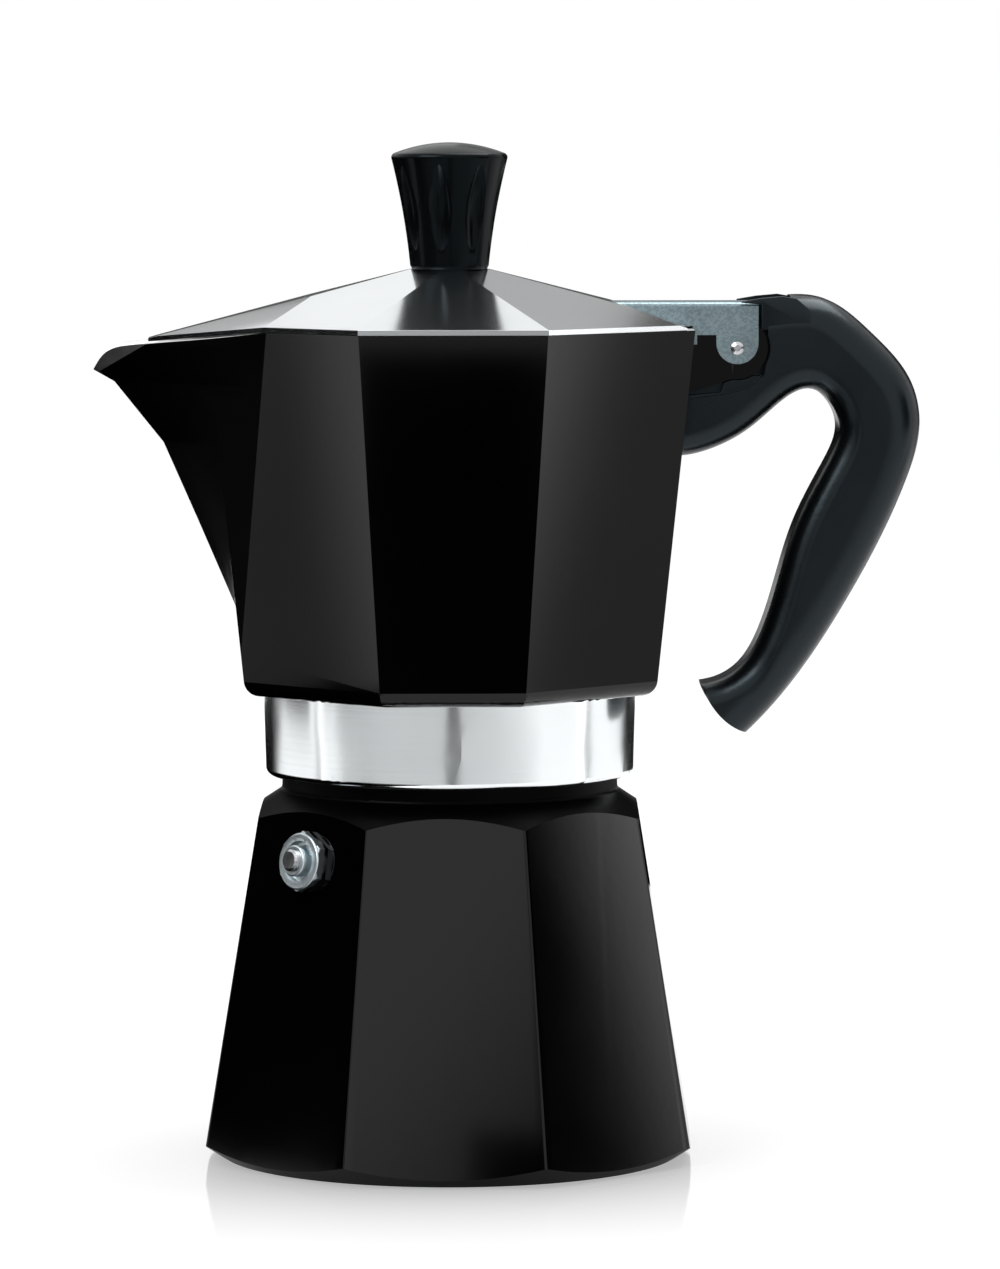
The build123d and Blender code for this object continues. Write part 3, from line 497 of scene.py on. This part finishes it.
@dataclass
class Finishes:
    """All the finishes of the pot, built once and shared."""

    enamel: bpy.types.Material = field(default_factory=lambda: GlossPaint().build())
    # Painted shade: a copy of the enamel with its gloss dulled, so the foot, shoulder, neck and spout
    # prow look as if in shade.
    shaded_enamel: bpy.types.Material = field(
        default_factory=lambda: GlossPaint("shaded_enamel", roughness=0.35, specular=0.03).build()
    )
    turned: bpy.types.Material = field(
        default_factory=lambda: BareAluminium("turned_aluminium", Grain.TURNED, roughness=0.15).build()
    )
    threaded: bpy.types.Material = field(default_factory=lambda: ThreadedAluminium().build())
    brushed: bpy.types.Material = field(
        default_factory=lambda: BareAluminium("satin_aluminium", Grain.BRUSHED, roughness=0.14).build()
    )
    cast: bpy.types.Material = field(
        default_factory=lambda: BareAluminium(
            "cast_aluminium", Grain.CAST, light=(0.70, 0.70, 0.69), dark=(0.56, 0.56, 0.56),
            roughness=0.42, depth=0.02 * MM,
        ).build()
    )
    handle: bpy.types.Material = field(
        default_factory=lambda: MouldedPlastic("handle_plastic", roughness=0.27, specular=0.36).build()
    )
    knob: bpy.types.Material = field(
        default_factory=lambda: MouldedPlastic("knob_plastic", roughness=0.2, specular=0.10).build()
    )
    galvanised: bpy.types.Material = field(
        default_factory=lambda: PlatedMetal(
            "galvanised_steel", light=(0.28, 0.36, 0.39), dark=(0.21, 0.275, 0.30), roughness=0.3,
            crystal=2600.0,
        ).build()
    )
    nickel: bpy.types.Material = field(
        default_factory=lambda: PlatedMetal(
            "nickel_plate", light=(0.66, 0.73, 0.76), dark=(0.60, 0.67, 0.70), roughness=0.3,
            crystal=1600.0,
        ).build()
    )
    steel: bpy.types.Material = field(
        default_factory=lambda: PlatedMetal(
            "bright_steel", light=(0.62, 0.63, 0.65), dark=(0.52, 0.53, 0.55), roughness=0.24,
            crystal=1200.0,
        ).build()
    )
    silicone: bpy.types.Material = field(default_factory=lambda: Silicone().build())

    def skins(self) -> list[bpy.types.Material]:
        """Finishes of an enamelled casting, in the order of Skin."""
        return [self.enamel, self.cast, self.turned, self.threaded, self.shaded_enamel]


# ---------------------------------------------------------------- castings
Chooser = Callable[[bmesh.types.BMFace], Skin]
STRAIGHT = 0.9  # a normal that has more than this along a direction looks straight along it


def outwardness(face: bmesh.types.BMFace) -> float:
    """How far a face looks away from the pot's axis.

    Args:
        face: Face to look at.

    Returns:
        1 for straight out, -1 for straight in.
    """
    centre = face.calc_center_median()
    return face.normal.dot(Vector((centre.x, centre.y, 0.0)).normalized())


@dataclass
class Casting:
    """A CAD node's surface, merged, with its sharp edges broken and its normals true.

    Attributes:
        node: CAD node that the piece stands for.
        name: Name of the piece.
        body: Body it rides on.
        slot: Material slot of the part; not used.
        materials: Finishes of the piece.
        edge: Width of the broken edges.
        crease: Degrees past which an edge is sharp.
        choose: Gives each face one of the finishes.
        cuts: Planes that divide faces, each a point and a normal.
        merge: Distance within which corners are joined.
        flat: Degrees within which faces are joined.
    """

    node: str
    name: str
    body: Body
    slot: str
    materials: list[bpy.types.Material]
    edge: float = 0.0
    crease: float = 28.0
    choose: Chooser | None = None
    cuts: list[tuple[Vector, Vector]] = field(default_factory=list)
    merge: float = 0.0015 * MM
    flat: float = 0.3

    def build(self) -> bpy.types.Object:
        """Build the piece.

        Returns:
            The object that stands for the node.
        """
        work = bmesh.new()
        work.from_mesh(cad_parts[self.node].data)
        bmesh.ops.remove_doubles(work, verts=work.verts, dist=self.merge)
        bmesh.ops.dissolve_limit(
            work, angle_limit=math.radians(self.flat), verts=work.verts, edges=work.edges
        )
        for point, normal in self.cuts:
            bmesh.ops.bisect_plane(
                work, geom=[*work.verts, *work.edges, *work.faces], plane_co=point, plane_no=normal
            )
        if self.edge > 0.0:
            self.break_edges(work)
        for face in work.faces:
            face.smooth = True
            if self.choose:
                face.material_index = self.choose(face)
        limit = math.radians(self.crease)
        for seam in work.edges:
            seam.smooth = seam.is_manifold and seam.calc_face_angle(0.0) < limit
        bmesh.ops.triangulate(work, faces=[f for f in work.faces if len(f.verts) > 4])
        piece = make_object(work, self.name, *self.materials)
        weighted = piece.modifiers.new("true_normals", "WEIGHTED_NORMAL")
        weighted.keep_sharp = True
        weighted.weight = 100
        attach(piece, self.body.value)
        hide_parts(self.node)
        log.info("%s: %d faces, stands for %s", self.name, len(piece.data.polygons), self.node)
        return piece

    def break_edges(self, work: bmesh.types.BMesh) -> None:
        """Bevel the sharp edges.

        Args:
            work: Mesh to change.
        """
        sharp = [
            e
            for e in work.edges
            if e.is_manifold and e.calc_face_angle(0.0) > math.radians(self.crease)
        ]
        bmesh.ops.bevel(
            work, geom=sharp, offset=self.edge, offset_type="OFFSET", segments=2, profile=0.5,
            affect="EDGES", clamp_overlap=True, material=-1,
        )


def dress(node: str, material: bpy.types.Material) -> None:
    """Give a CAD node its finish.

    Args:
        node: Name of the node.
        material: The finish.
    """
    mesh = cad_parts[node].data
    mesh.materials.clear()
    mesh.materials.append(material)
    log.info("%s: %s", node, material.name)


@dataclass
class BoilerUnit:
    """Boiler with its safety valve."""

    edge: float = 0.35 * MM
    floor_height: float = 0.4 * MM
    neck_paint: float = 82.5 * MM
    neck_inner: float = 34.0 * MM
    shoulder_low: float = 60.0 * MM
    shoulder_tilt: float = 0.33
    neck_root: float = 77.0 * MM
    foot_top: float = 6.0 * MM
    foot_tilt: float = -0.3
    inner_lean: float = -0.2
    valve_edge: float = 0.2 * MM

    def skin_of(self, face: bmesh.types.BMFace) -> Skin:
        """Finish of one face of the boiler.

        Args:
            face: Face to look at.

        Returns:
            Dulled enamel, painted shade, on the foot, the shoulder and the neck; enamel on the rest of
            the outside.
        """
        centre = face.calc_center_median()
        if centre.z < self.floor_height:
            return Skin.TURNED
        # Painted shade: the foot's underside, the neck and the shoulder take the dulled enamel.
        if centre.z < self.foot_top and face.normal.z < self.foot_tilt:
            return Skin.SHADED_ENAMEL
        if centre.z > self.neck_paint:
            return Skin.THREADED if outwardness(face) > STRAIGHT else Skin.TURNED
        if outwardness(face) < self.inner_lean:
            return Skin.CAST
        if face.normal.z > STRAIGHT and centre.xy.length < self.neck_inner:
            return Skin.CAST
        if centre.z > self.neck_root:
            return Skin.SHADED_ENAMEL
        if centre.z > self.shoulder_low and face.normal.z > self.shoulder_tilt:
            return Skin.SHADED_ENAMEL
        return Skin.ENAMEL

    def build(self, finishes: Finishes) -> None:
        """Build the pieces.

        Args:
            finishes: The pot's finishes.
        """
        paint_line = (Vector((0.0, 0.0, self.neck_paint)), Vector((0.0, 0.0, 1.0)))
        Casting(
            "boiler", "boiler_shell", Body.BASE, "black_paint", finishes.skins(), self.edge,
            choose=self.skin_of, cuts=[paint_line],
        ).build()
        Casting(
            "valve_body", "valve_hexagon", Body.BASE, "nickel_brass", [finishes.nickel],
            self.valve_edge,
        ).build()
        Casting("valve_cap", "valve_crown", Body.BASE, "nickel_brass", [finishes.nickel]).build()
        Casting("valve_plunger", "valve_stem", Body.PLUNGER, "nickel_brass", [finishes.steel]).build()
        dress("valve_washer", finishes.steel)
        self.build_spring(finishes.steel)

    def build_spring(self, material: bpy.types.Material) -> None:
        """Build the valve's spring on a mesh of its own.

        Args:
            material: Finish of the spring.
        """
        coil = Casting("valve_spring", "valve_coil", Body.BASE, "stainless", [material]).build()
        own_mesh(coil)


@dataclass
class FunnelUnit:
    """Coffee basket with its tube and screen."""

    def build(self, finishes: Finishes) -> None:
        """Build the pieces.

        Args:
            finishes: The pot's finishes.
        """
        Casting("funnel", "funnel_basket", Body.FUNNEL, "bare_aluminium", [finishes.turned]).build()
        Casting("funnel_tube", "funnel_pipe", Body.FUNNEL, "bare_aluminium", [finishes.turned]).build()
        Casting(
            "funnel_screen", "funnel_floor", Body.FUNNEL, "bare_aluminium", [finishes.brushed]
        ).build()


@dataclass
class SealUnit:
    """Seal ring and filter plate in the collar."""

    ring_edge: float = 0.4 * MM

    def build(self, finishes: Finishes) -> None:
        """Build the pieces.

        Args:
            finishes: The pot's finishes.
        """
        Casting(
            "gasket", "seal_ring", Body.SEAL, "seal_rubber", [finishes.silicone], self.ring_edge
        ).build()
        Casting(
            "filter_plate", "strainer_plate", Body.SEAL, "bare_aluminium", [finishes.brushed]
        ).build()


@dataclass(frozen=True)
class ForkHorns:
    """Two horns of the handle that flank the end of the lid's bracket.

    The outline is in millimetres from the hinge pin, towards the grip and up.
    """

    pin: PlanePoint = (61.2 * MM, 173.5 * MM)
    near: float = 8.2 * MM
    far: float = 10.1 * MM
    rounding: float = 0.45 * MM
    crease: float = 40.0
    tolerance: float = 0.001 * MM
    outline: tuple[PlanePoint, ...] = (
        (0.8, 9.7), (0.8, 10.0), (5.0, 10.7), (9.5, 11.1), (12.5, 10.6), (15.5, 8.0), (15.5, 4.0),
        (5.1, 4.0), (5.1, 9.3),
    )

    def build(self, material: bpy.types.Material) -> None:
        """Build both horns.

        Args:
            material: Finish of the handle.
        """
        work = bmesh.new()
        for side in (-1.0, 1.0):
            corners = [
                work.verts.new((self.pin[0] + x * MM, side * self.near, self.pin[1] + z * MM))
                for x, z in self.outline
            ]
            base = work.faces.new(corners)
            raised = bmesh.ops.extrude_face_region(work, geom=[base])["geom"]
            moved = [part for part in raised if isinstance(part, bmesh.types.BMVert)]
            bmesh.ops.translate(work, verts=moved, vec=(0.0, side * (self.far - self.near), 0.0))
        bmesh.ops.recalc_face_normals(work, faces=work.faces)
        outer = [
            e
            for e in work.edges
            if all(abs(abs(v.co.y) - self.far) < self.tolerance for v in e.verts)
        ]
        bmesh.ops.bevel(
            work, geom=outer, offset=self.rounding, offset_type="OFFSET", segments=3, profile=0.5,
            affect="EDGES", clamp_overlap=True, material=-1,
        )
        for face in work.faces:
            face.smooth = True
        for seam in work.edges:
            seam.smooth = seam.calc_face_angle(0.0) < math.radians(self.crease)
        piece = make_object(work, "handle_horns", material)
        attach(piece, Body.UPPER_POT.value)
        log.info("%s: %d faces", piece.name, len(piece.data.polygons))


@dataclass
class UpperPotUnit:
    """Upper pot with collar, column, handle and hinge pin."""

    edge: float = 0.35 * MM
    collar_radius: float = 40.3 * MM
    collar_top: float = 99.95 * MM
    bore_top: float = 96.5 * MM
    chamber_floor: float = 101.0 * MM
    inner_lean: float = -0.15
    inner_rise: float = 0.3
    lip_slope: float = 0.61
    lip_start: float = 214.06 * MM
    prow_foot: float = 107.0 * MM
    spout_face: float = -0.98
    ear_start: float = 51.0 * MM
    handle_edge: float = 0.5 * MM
    fold_top: Point = (-40.3 * MM, -31.4 * MM, 170.0 * MM)
    fold_foot: Point = (-45.3 * MM, -18.8 * MM, 116.0 * MM)
    panel_normal: Point = (-0.7036, -0.7036, -0.099)

    def fold_normal(self) -> Vector:
        """Normal of the plane that holds the near fold beside the spout.

        Returns:
            The normal, towards the spout.
        """
        fold = Vector(self.fold_top) - Vector(self.fold_foot)
        across = fold.cross(Vector(self.panel_normal)).normalized()
        return across if across.x < 0.0 else -across

    def on_prow(self, face: bmesh.types.BMFace) -> bool:
        """Whether a face is on the spout's prow.

        Args:
            face: Face to look at.

        Returns:
            True between the two folds beside the spout.
        """
        centre = face.calc_center_median()
        near_side = Vector((centre.x, -abs(centre.y), centre.z)) - Vector(self.fold_top)
        return (
            centre.z > self.prow_foot
            and face.normal.x > self.spout_face
            and near_side.dot(self.fold_normal()) > 0.0
        )

    def skin_of(self, face: bmesh.types.BMFace) -> Skin:
        """Finish of one face of the upper pot.

        Args:
            face: Face to look at.

        Returns:
            Dulled enamel, painted shade, on the spout's prow; enamel on the rest of the outside above
            the collar.
        """
        centre = face.calc_center_median()
        if centre.z < self.bore_top and outwardness(face) < -STRAIGHT:
            return Skin.THREADED
        if centre.z < self.collar_top and centre.xy.length < self.collar_radius:
            return Skin.TURNED
        if centre.z - self.lip_slope * centre.x > self.lip_start:
            return Skin.CAST
        if centre.x > self.ear_start:
            return Skin.ENAMEL
        inside = outwardness(face) < self.inner_lean or face.normal.z > self.inner_rise
        if centre.z > self.chamber_floor and inside:
            return Skin.CAST
        # Painted shade: the spout's prow takes the dulled enamel.
        return Skin.SHADED_ENAMEL if self.on_prow(face) else Skin.ENAMEL

    def build(self, finishes: Finishes) -> None:
        """Build the pieces.

        Args:
            finishes: The pot's finishes.
        """
        paint_line = (Vector((0.0, 0.0, self.lip_start)), Vector((-self.lip_slope, 0.0, 1.0)))
        near_fold = (Vector(self.fold_top), self.fold_normal())
        to_far_side = Vector((1.0, -1.0, 1.0))
        far_fold = (near_fold[0] * to_far_side, near_fold[1] * to_far_side)
        Casting(
            "collector", "upper_pot_shell", Body.UPPER_POT, "black_paint", finishes.skins(),
            self.edge, choose=self.skin_of, cuts=[paint_line, near_fold, far_fold],
        ).build()
        Casting("column", "coffee_column", Body.UPPER_POT, "bare_aluminium", [finishes.cast]).build()
        Casting(
            "handle", "handle_moulding", Body.UPPER_POT, "black_plastic", [finishes.handle],
            self.handle_edge, crease=35.0,
        ).build()
        ForkHorns().build(finishes.handle)
        Casting("hinge_pin", "hinge_rod", Body.UPPER_POT, "nickel_steel", [finishes.steel]).build()


@dataclass
class LidUnit:
    """Lid with its bracket and knob."""

    edge: float = 0.25 * MM
    bracket_edge: float = 0.12 * MM

    def build(self, finishes: Finishes) -> None:
        """Build the pieces.

        Args:
            finishes: The pot's finishes.
        """
        Casting(
            "lid", "lid_shell", Body.LID, "bare_aluminium", [finishes.brushed], self.edge, crease=8.0,
        ).build()
        Casting(
            "lid_bracket", "hinge_bracket", Body.LID, "galvanised", [finishes.galvanised],
            self.bracket_edge, crease=20.0,
        ).build()
        Casting("bracket_rivets", "lid_rivets", Body.LID, "bare_aluminium", [finishes.turned]).build()
        Casting("knob", "fluted_knob", Body.LID, "black_plastic", [finishes.knob], crease=32.0).build()
        Casting("knob_screw", "knob_bolt", Body.LID, "galvanised", [finishes.galvanised]).build()
        dress("knob_washer", finishes.galvanised)


# ---------------------------------------------------------------- studio
@dataclass(frozen=True)
class Card:
    """A flat card of the studio, seen only in reflections.

    Attributes:
        name: Name of the card.
        corners: Its four corners.
        strength: Light that it sends out, where the white surround has 1.
        fade: Direction along which it fades, as the rise of the fade per metre.
        fade_start: Value along that direction at which the fade starts, one before its end.
        low: Light at the start of the fade.
        one_sided: Whether it is seen from its front only.
    """

    name: str
    corners: tuple[Point, ...]
    strength: float
    fade: Point = (0.0, 0.0, 0.0)
    fade_start: float = 0.0
    low: float = 0.0
    one_sided: bool = False

    @classmethod
    def lying(cls, name: str, x: Span, y: Span, strength: float, **fade: object) -> "Card":
        """Card just over the floor, seen from above only.

        Args:
            name: Name of the card.
            x: Its reach along X.
            y: Its reach along Y.
            strength: Light that it sends out.
            **fade: Fields of its fade.

        Returns:
            The card, not built yet.
        """
        z = 2.0 * MM
        corners = ((x[0], y[0], z), (x[1], y[0], z), (x[1], y[1], z), (x[0], y[1], z))
        return cls(name, corners, strength, one_sided=True, **fade)

    @classmethod
    def facing_x(cls, name: str, x: float, y: Span, z: Span, strength: float, **fade: object) -> "Card":
        """Upright card across the X axis.

        Args:
            name: Name of the card.
            x: Its place along X.
            y: Its reach along Y.
            z: Its reach along Z.
            strength: Light that it sends out.
            **fade: Fields of its fade.

        Returns:
            The card, not built yet.
        """
        corners = ((x, y[0], z[0]), (x, y[1], z[0]), (x, y[1], z[1]), (x, y[0], z[1]))
        return cls(name, corners, strength, **fade)

    @classmethod
    def facing_y(cls, name: str, y: float, x: Span, z: Span, strength: float, **fade: object) -> "Card":
        """Upright card across the Y axis.

        Args:
            name: Name of the card.
            y: Its place along Y.
            x: Its reach along X.
            z: Its reach along Z.
            strength: Light that it sends out.
            **fade: Fields of its fade.

        Returns:
            The card, not built yet.
        """
        corners = ((x[0], y, z[0]), (x[1], y, z[0]), (x[1], y, z[1]), (x[0], y, z[1]))
        return cls(name, corners, strength, **fade)

    def build(self) -> None:
        """Build the card."""
        sheet = bmesh.new()
        sheet.faces.new([sheet.verts.new(corner) for corner in self.corners])
        card = make_object(sheet, self.name, self.build_paper())
        card.visible_camera = False
        card.visible_diffuse = False
        card.visible_transmission = False
        card.visible_shadow = False

    def build_paper(self) -> bpy.types.Material:
        """Build the card's material.

        Returns:
            A plain or fading light, clear from the back where the card is one-sided.
        """
        shade = Shade(f"{self.name}_paper")
        glow = shade.add("ShaderNodeEmission")
        glow.inputs["Strength"].default_value = self.strength
        if any(self.fade):
            self.add_fade(shade, glow)
        if self.one_sided:
            mixed = shade.add("ShaderNodeMixShader")
            shade.link(shade.add("ShaderNodeNewGeometry").outputs["Backfacing"], mixed.inputs["Fac"])
            shade.link(glow.outputs["Emission"], mixed.inputs[1])
            shade.link(shade.add("ShaderNodeBsdfTransparent").outputs["BSDF"], mixed.inputs[2])
            shade.link(mixed.outputs["Shader"], shade.output.inputs["Surface"])
        else:
            shade.link(glow.outputs["Emission"], shade.output.inputs["Surface"])
        return shade.material

    def add_fade(self, shade: Shade, glow: bpy.types.Node) -> None:
        """Fade the card's light in along its direction.

        Args:
            shade: Tree of the card's material.
            glow: Emission node.
        """
        along = shade.add("ShaderNodeVectorMath", operation="DOT_PRODUCT")
        along.inputs[1].default_value = self.fade
        shade.link(shade.coordinates, along.inputs[0])
        ramp = shade.add("ShaderNodeMapRange", interpolation_type="SMOOTHSTEP")
        ramp.inputs["From Min"].default_value = self.fade_start
        ramp.inputs["From Max"].default_value = self.fade_start + 1.0
        ramp.inputs["To Min"].default_value = self.low
        ramp.inputs["To Max"].default_value = self.strength
        shade.link(along.outputs["Value"], ramp.inputs["Value"])
        shade.link(ramp.outputs["Result"], glow.inputs["Strength"])


@dataclass
class Studio:
    """Floor, cards, lamps, world and camera."""

    distance: float = 1.420
    camera_x: float = -0.022
    camera_z: float = 0.226
    frame_centre: PlanePoint = (0.0108, 0.1118)
    frame_height: float = 0.2715
    sensor: float = 36.0
    view_depth: float = 50.0
    floor_half: float = 6.0
    floor_colour: float = 0.22
    floor_lift: float = 0.88
    gloss_lift: float = 0.90
    sheen: float = 0.53
    sheen_reach: float = 0.05
    sheen_roughness: float = 0.1
    pot_radius: float = 0.05
    ambient: float = 0.55
    lamp_power: float = 14.0
    lamp_aim: Point = (0.0, 0.0, 0.1)

    def build(self) -> None:
        """Build the studio."""
        self.build_floor()
        self.build_front_cards()
        self.build_side_cards()
        self.build_back_cards()
        self.build_world()
        self.build_lamps()
        self.build_camera()

    def build_floor(self) -> None:
        """Pale floor."""
        plane = bmesh.new()
        bmesh.ops.create_grid(plane, x_segments=1, y_segments=1, size=self.floor_half)
        floor = make_object(plane, "floor", self.build_acrylic())

    def build_acrylic(self) -> bpy.types.Material:
        """Build the floor's material.

        Returns:
            Matt white for camera and gloss, with a sheen that fades away from the pot.
        """
        shade = Shade("floor_acrylic")
        reach = shade.add("ShaderNodeVectorMath", operation="LENGTH")
        shade.link(shade.coordinates, reach.inputs[0])
        away = shade.math("SUBTRACT", reach.outputs["Value"], self.pot_radius)
        decay = shade.math("EXPONENT", shade.math("DIVIDE", away, -self.sheen_reach))
        sheen_share = shade.math("MULTIPLY", decay, self.sheen)
        matte = shade.add("ShaderNodeBsdfDiffuse")
        matte.inputs["Color"].default_value = (*(self.floor_colour,) * 3, 1.0)
        rays = shade.add("ShaderNodeLightPath")
        direct = shade.math("MULTIPLY", rays.outputs["Is Camera Ray"], self.floor_lift)
        lift = shade.math("MULTIPLY_ADD", rays.outputs["Is Glossy Ray"], self.gloss_lift, direct)
        white = shade.add("ShaderNodeEmission")
        shade.link(lift, white.inputs["Strength"])
        body = shade.add("ShaderNodeAddShader")
        shade.link(matte.outputs["BSDF"], body.inputs[0])
        shade.link(white.outputs["Emission"], body.inputs[1])
        gloss = shade.add("ShaderNodeBsdfAnisotropic")
        gloss.inputs["Roughness"].default_value = self.sheen_roughness
        mixed = shade.add("ShaderNodeMixShader")
        shade.link(sheen_share, mixed.inputs["Fac"])
        shade.link(body.outputs["Shader"], mixed.inputs[1])
        shade.link(gloss.outputs["BSDF"], mixed.inputs[2])
        shade.link(mixed.outputs["Shader"], shade.output.inputs["Surface"])
        return shade.material

    def build_front_cards(self) -> None:
        """Cards before the pot: a dark strip for the front face, and the pale floor beside it."""
        Card.lying("card_front_floor", (-0.025, 0.045), (-0.58, -0.33), 0.0).build()
        Card.facing_y("card_front_strip", -0.45, (-0.020, 0.038), (0.033, 0.077), 0.0).build()
        Card.lying("card_front_left", (-0.85, -0.025), (-0.88, -0.20), 0.72).build()
        Card.lying("card_front_middle", (-0.025, 0.045), (-0.88, -0.58), 0.72).build()
        Card.lying("card_front_right", (0.045, 0.50), (-0.88, -0.33), 0.75).build()
        Card.lying("card_far_floor", (-4.0, 0.6), (-5.5, -0.88), 0.16).build()
        Card.facing_y(
            "card_front", -1.2, (-0.25, 0.2), (0.08, 0.36), 1.35,
            fade=(-6.0, 0.0, 5.0), fade_start=0.9, low=0.35,
        ).build()
        Card.facing_y("card_horizon", -5.5, (-4.0, 0.6), (0.0, 1.0), 0.1).build()

    def build_side_cards(self) -> None:
        """Cards to the left and right: dark panels, and the pale aprons at the corners' height."""
        Card.lying("card_left_floor", (-0.42, -0.056), (-0.33, 0.7), 0.0).build()
        Card.facing_x("card_left_near", -0.3, (-0.40, -0.052), (0.065, 0.21), 0.0).build()
        Card.facing_x("card_left_behind", -0.3, (0.012, 0.60), (0.060, 0.21), 0.0).build()
        Card.lying(
            "card_left_apron", (-1.3, -0.42), (-0.06, 0.01), 1.85,
            fade=(-0.65, -28.0, 0.0), fade_start=0.77, low=0.46,
        ).build()
        Card.lying(
            "card_right_apron", (0.42, 1.3), (-0.05, 0.06), 2.8,
            fade=(1.4, -18.0, 0.0), fade_start=0.79, low=0.5,
        ).build()
        Card.facing_x("card_left", -0.95, (-1.0, 0.8), (0.05, 0.32), 0.0).build()
        Card.facing_x(
            "card_right", 0.9, (-0.6, -0.035), (0.05, 0.4), 4.4,
            fade=(0.0, 16.0, 1.0), fade_start=-1.19,
        ).build()

    def build_back_cards(self) -> None:
        """Cards behind the pot, which the bare metal and the lid see."""
        Card.facing_y("card_back_low", 0.5, (-0.38, 0.38), (0.0, 0.05), 0.0).build()
        Card.facing_y("card_back", 0.5, (-0.38, 0.38), (0.12, 0.24), 0.0).build()
        for name, span, strength, slope, start in (
            ("card_back_left", (-1.12, -0.38), 1.0, -1.3, 0.35),
            ("card_back_right", (0.38, 1.2), 0.65, 4.0, 1.65),
        ):
            fade = (slope, 0.0, 0.0)
            Card.facing_y(name, 0.5, span, (0.0, 0.24), strength, fade=fade, fade_start=start).build()
        Card.facing_y("card_back_middle", 0.5, (-0.6, 0.105), (0.24, 0.345), 0.42).build()
        Card.facing_y("card_back_upper", 0.5, (0.02, 0.105), (0.345, 0.47), 0.42).build()
        Card.facing_y("card_back_right_upper", 0.5, (0.105, 0.6), (0.24, 0.47), 0.05).build()

    def build_world(self) -> None:
        """White surround for camera, gloss and glass, and a soft ambient level for the rest."""
        world = bpy.data.worlds.new("surround")
        world.use_nodes = True
        tree = NodeTree(world.node_tree, "ShaderNodeOutputWorld")
        rays = tree.add("ShaderNodeLightPath").outputs
        seen = tree.math("MAXIMUM", rays["Is Camera Ray"], rays["Is Glossy Ray"])
        direct = tree.math("MAXIMUM", seen, rays["Is Transmission Ray"])
        level = tree.add("ShaderNodeMapRange")
        level.inputs["To Min"].default_value = self.ambient
        level.inputs["To Max"].default_value = 1.0
        tree.link(direct, level.inputs["Value"])
        sky = tree.add("ShaderNodeBackground")
        sky.inputs["Color"].default_value = (1.0, 1.0, 1.0, 1.0)
        tree.link(level.outputs["Result"], sky.inputs["Strength"])
        tree.link(sky.outputs["Background"], tree.output.inputs["Surface"])
        bpy.context.scene.world = world

    def build_lamps(self) -> None:
        """Two soft boxes."""
        for name, place, size in (
            ("soft_box_left", Vector((-0.9, -0.8, 1.1)), 0.9),
            ("soft_box_top", Vector((0.4, 0.3, 1.4)), 1.0),
        ):
            data = bpy.data.lights.new(name, "AREA")
            data.shape = "SQUARE"
            data.size = size
            data.energy = self.lamp_power
            self.aim(bpy.data.objects.new(name, data), place, Vector(self.lamp_aim))

    def build_camera(self) -> None:
        """Long lens at the height of the knob, turned down to the pot's middle."""
        data = bpy.data.cameras.new("camera")
        data.sensor_fit = "VERTICAL"
        data.sensor_height = self.sensor
        data.lens = self.sensor * self.distance / self.frame_height
        data.clip_end = self.view_depth
        camera = bpy.data.objects.new("camera", data)
        place = Vector((self.camera_x, -self.distance, self.camera_z))
        self.aim(camera, place, Vector((self.frame_centre[0], 0.0, self.frame_centre[1])))
        bpy.context.scene.camera = camera

    @staticmethod
    def aim(device: bpy.types.Object, place: Vector, target: Vector) -> None:
        """Set up a lamp or camera.

        Args:
            device: The lamp or camera.
            place: Where it stands.
            target: Point that it looks at.
        """
        device.location = place
        device.rotation_euler = (target - place).to_track_quat("-Z", "Y").to_euler()
        bpy.context.collection.objects.link(device)


def main() -> None:
    """Build the studio and dress the pot."""
    logging.basicConfig(level=logging.INFO, format="%(name)s %(message)s")
    bpy.context.scene.view_settings.view_transform = "Standard"
    Studio().build()
    finishes = Finishes()
    for unit in (BoilerUnit(), FunnelUnit(), SealUnit(), UpperPotUnit(), LidUnit()):
        unit.build(finishes)


if __name__ == "__main__":
    main()
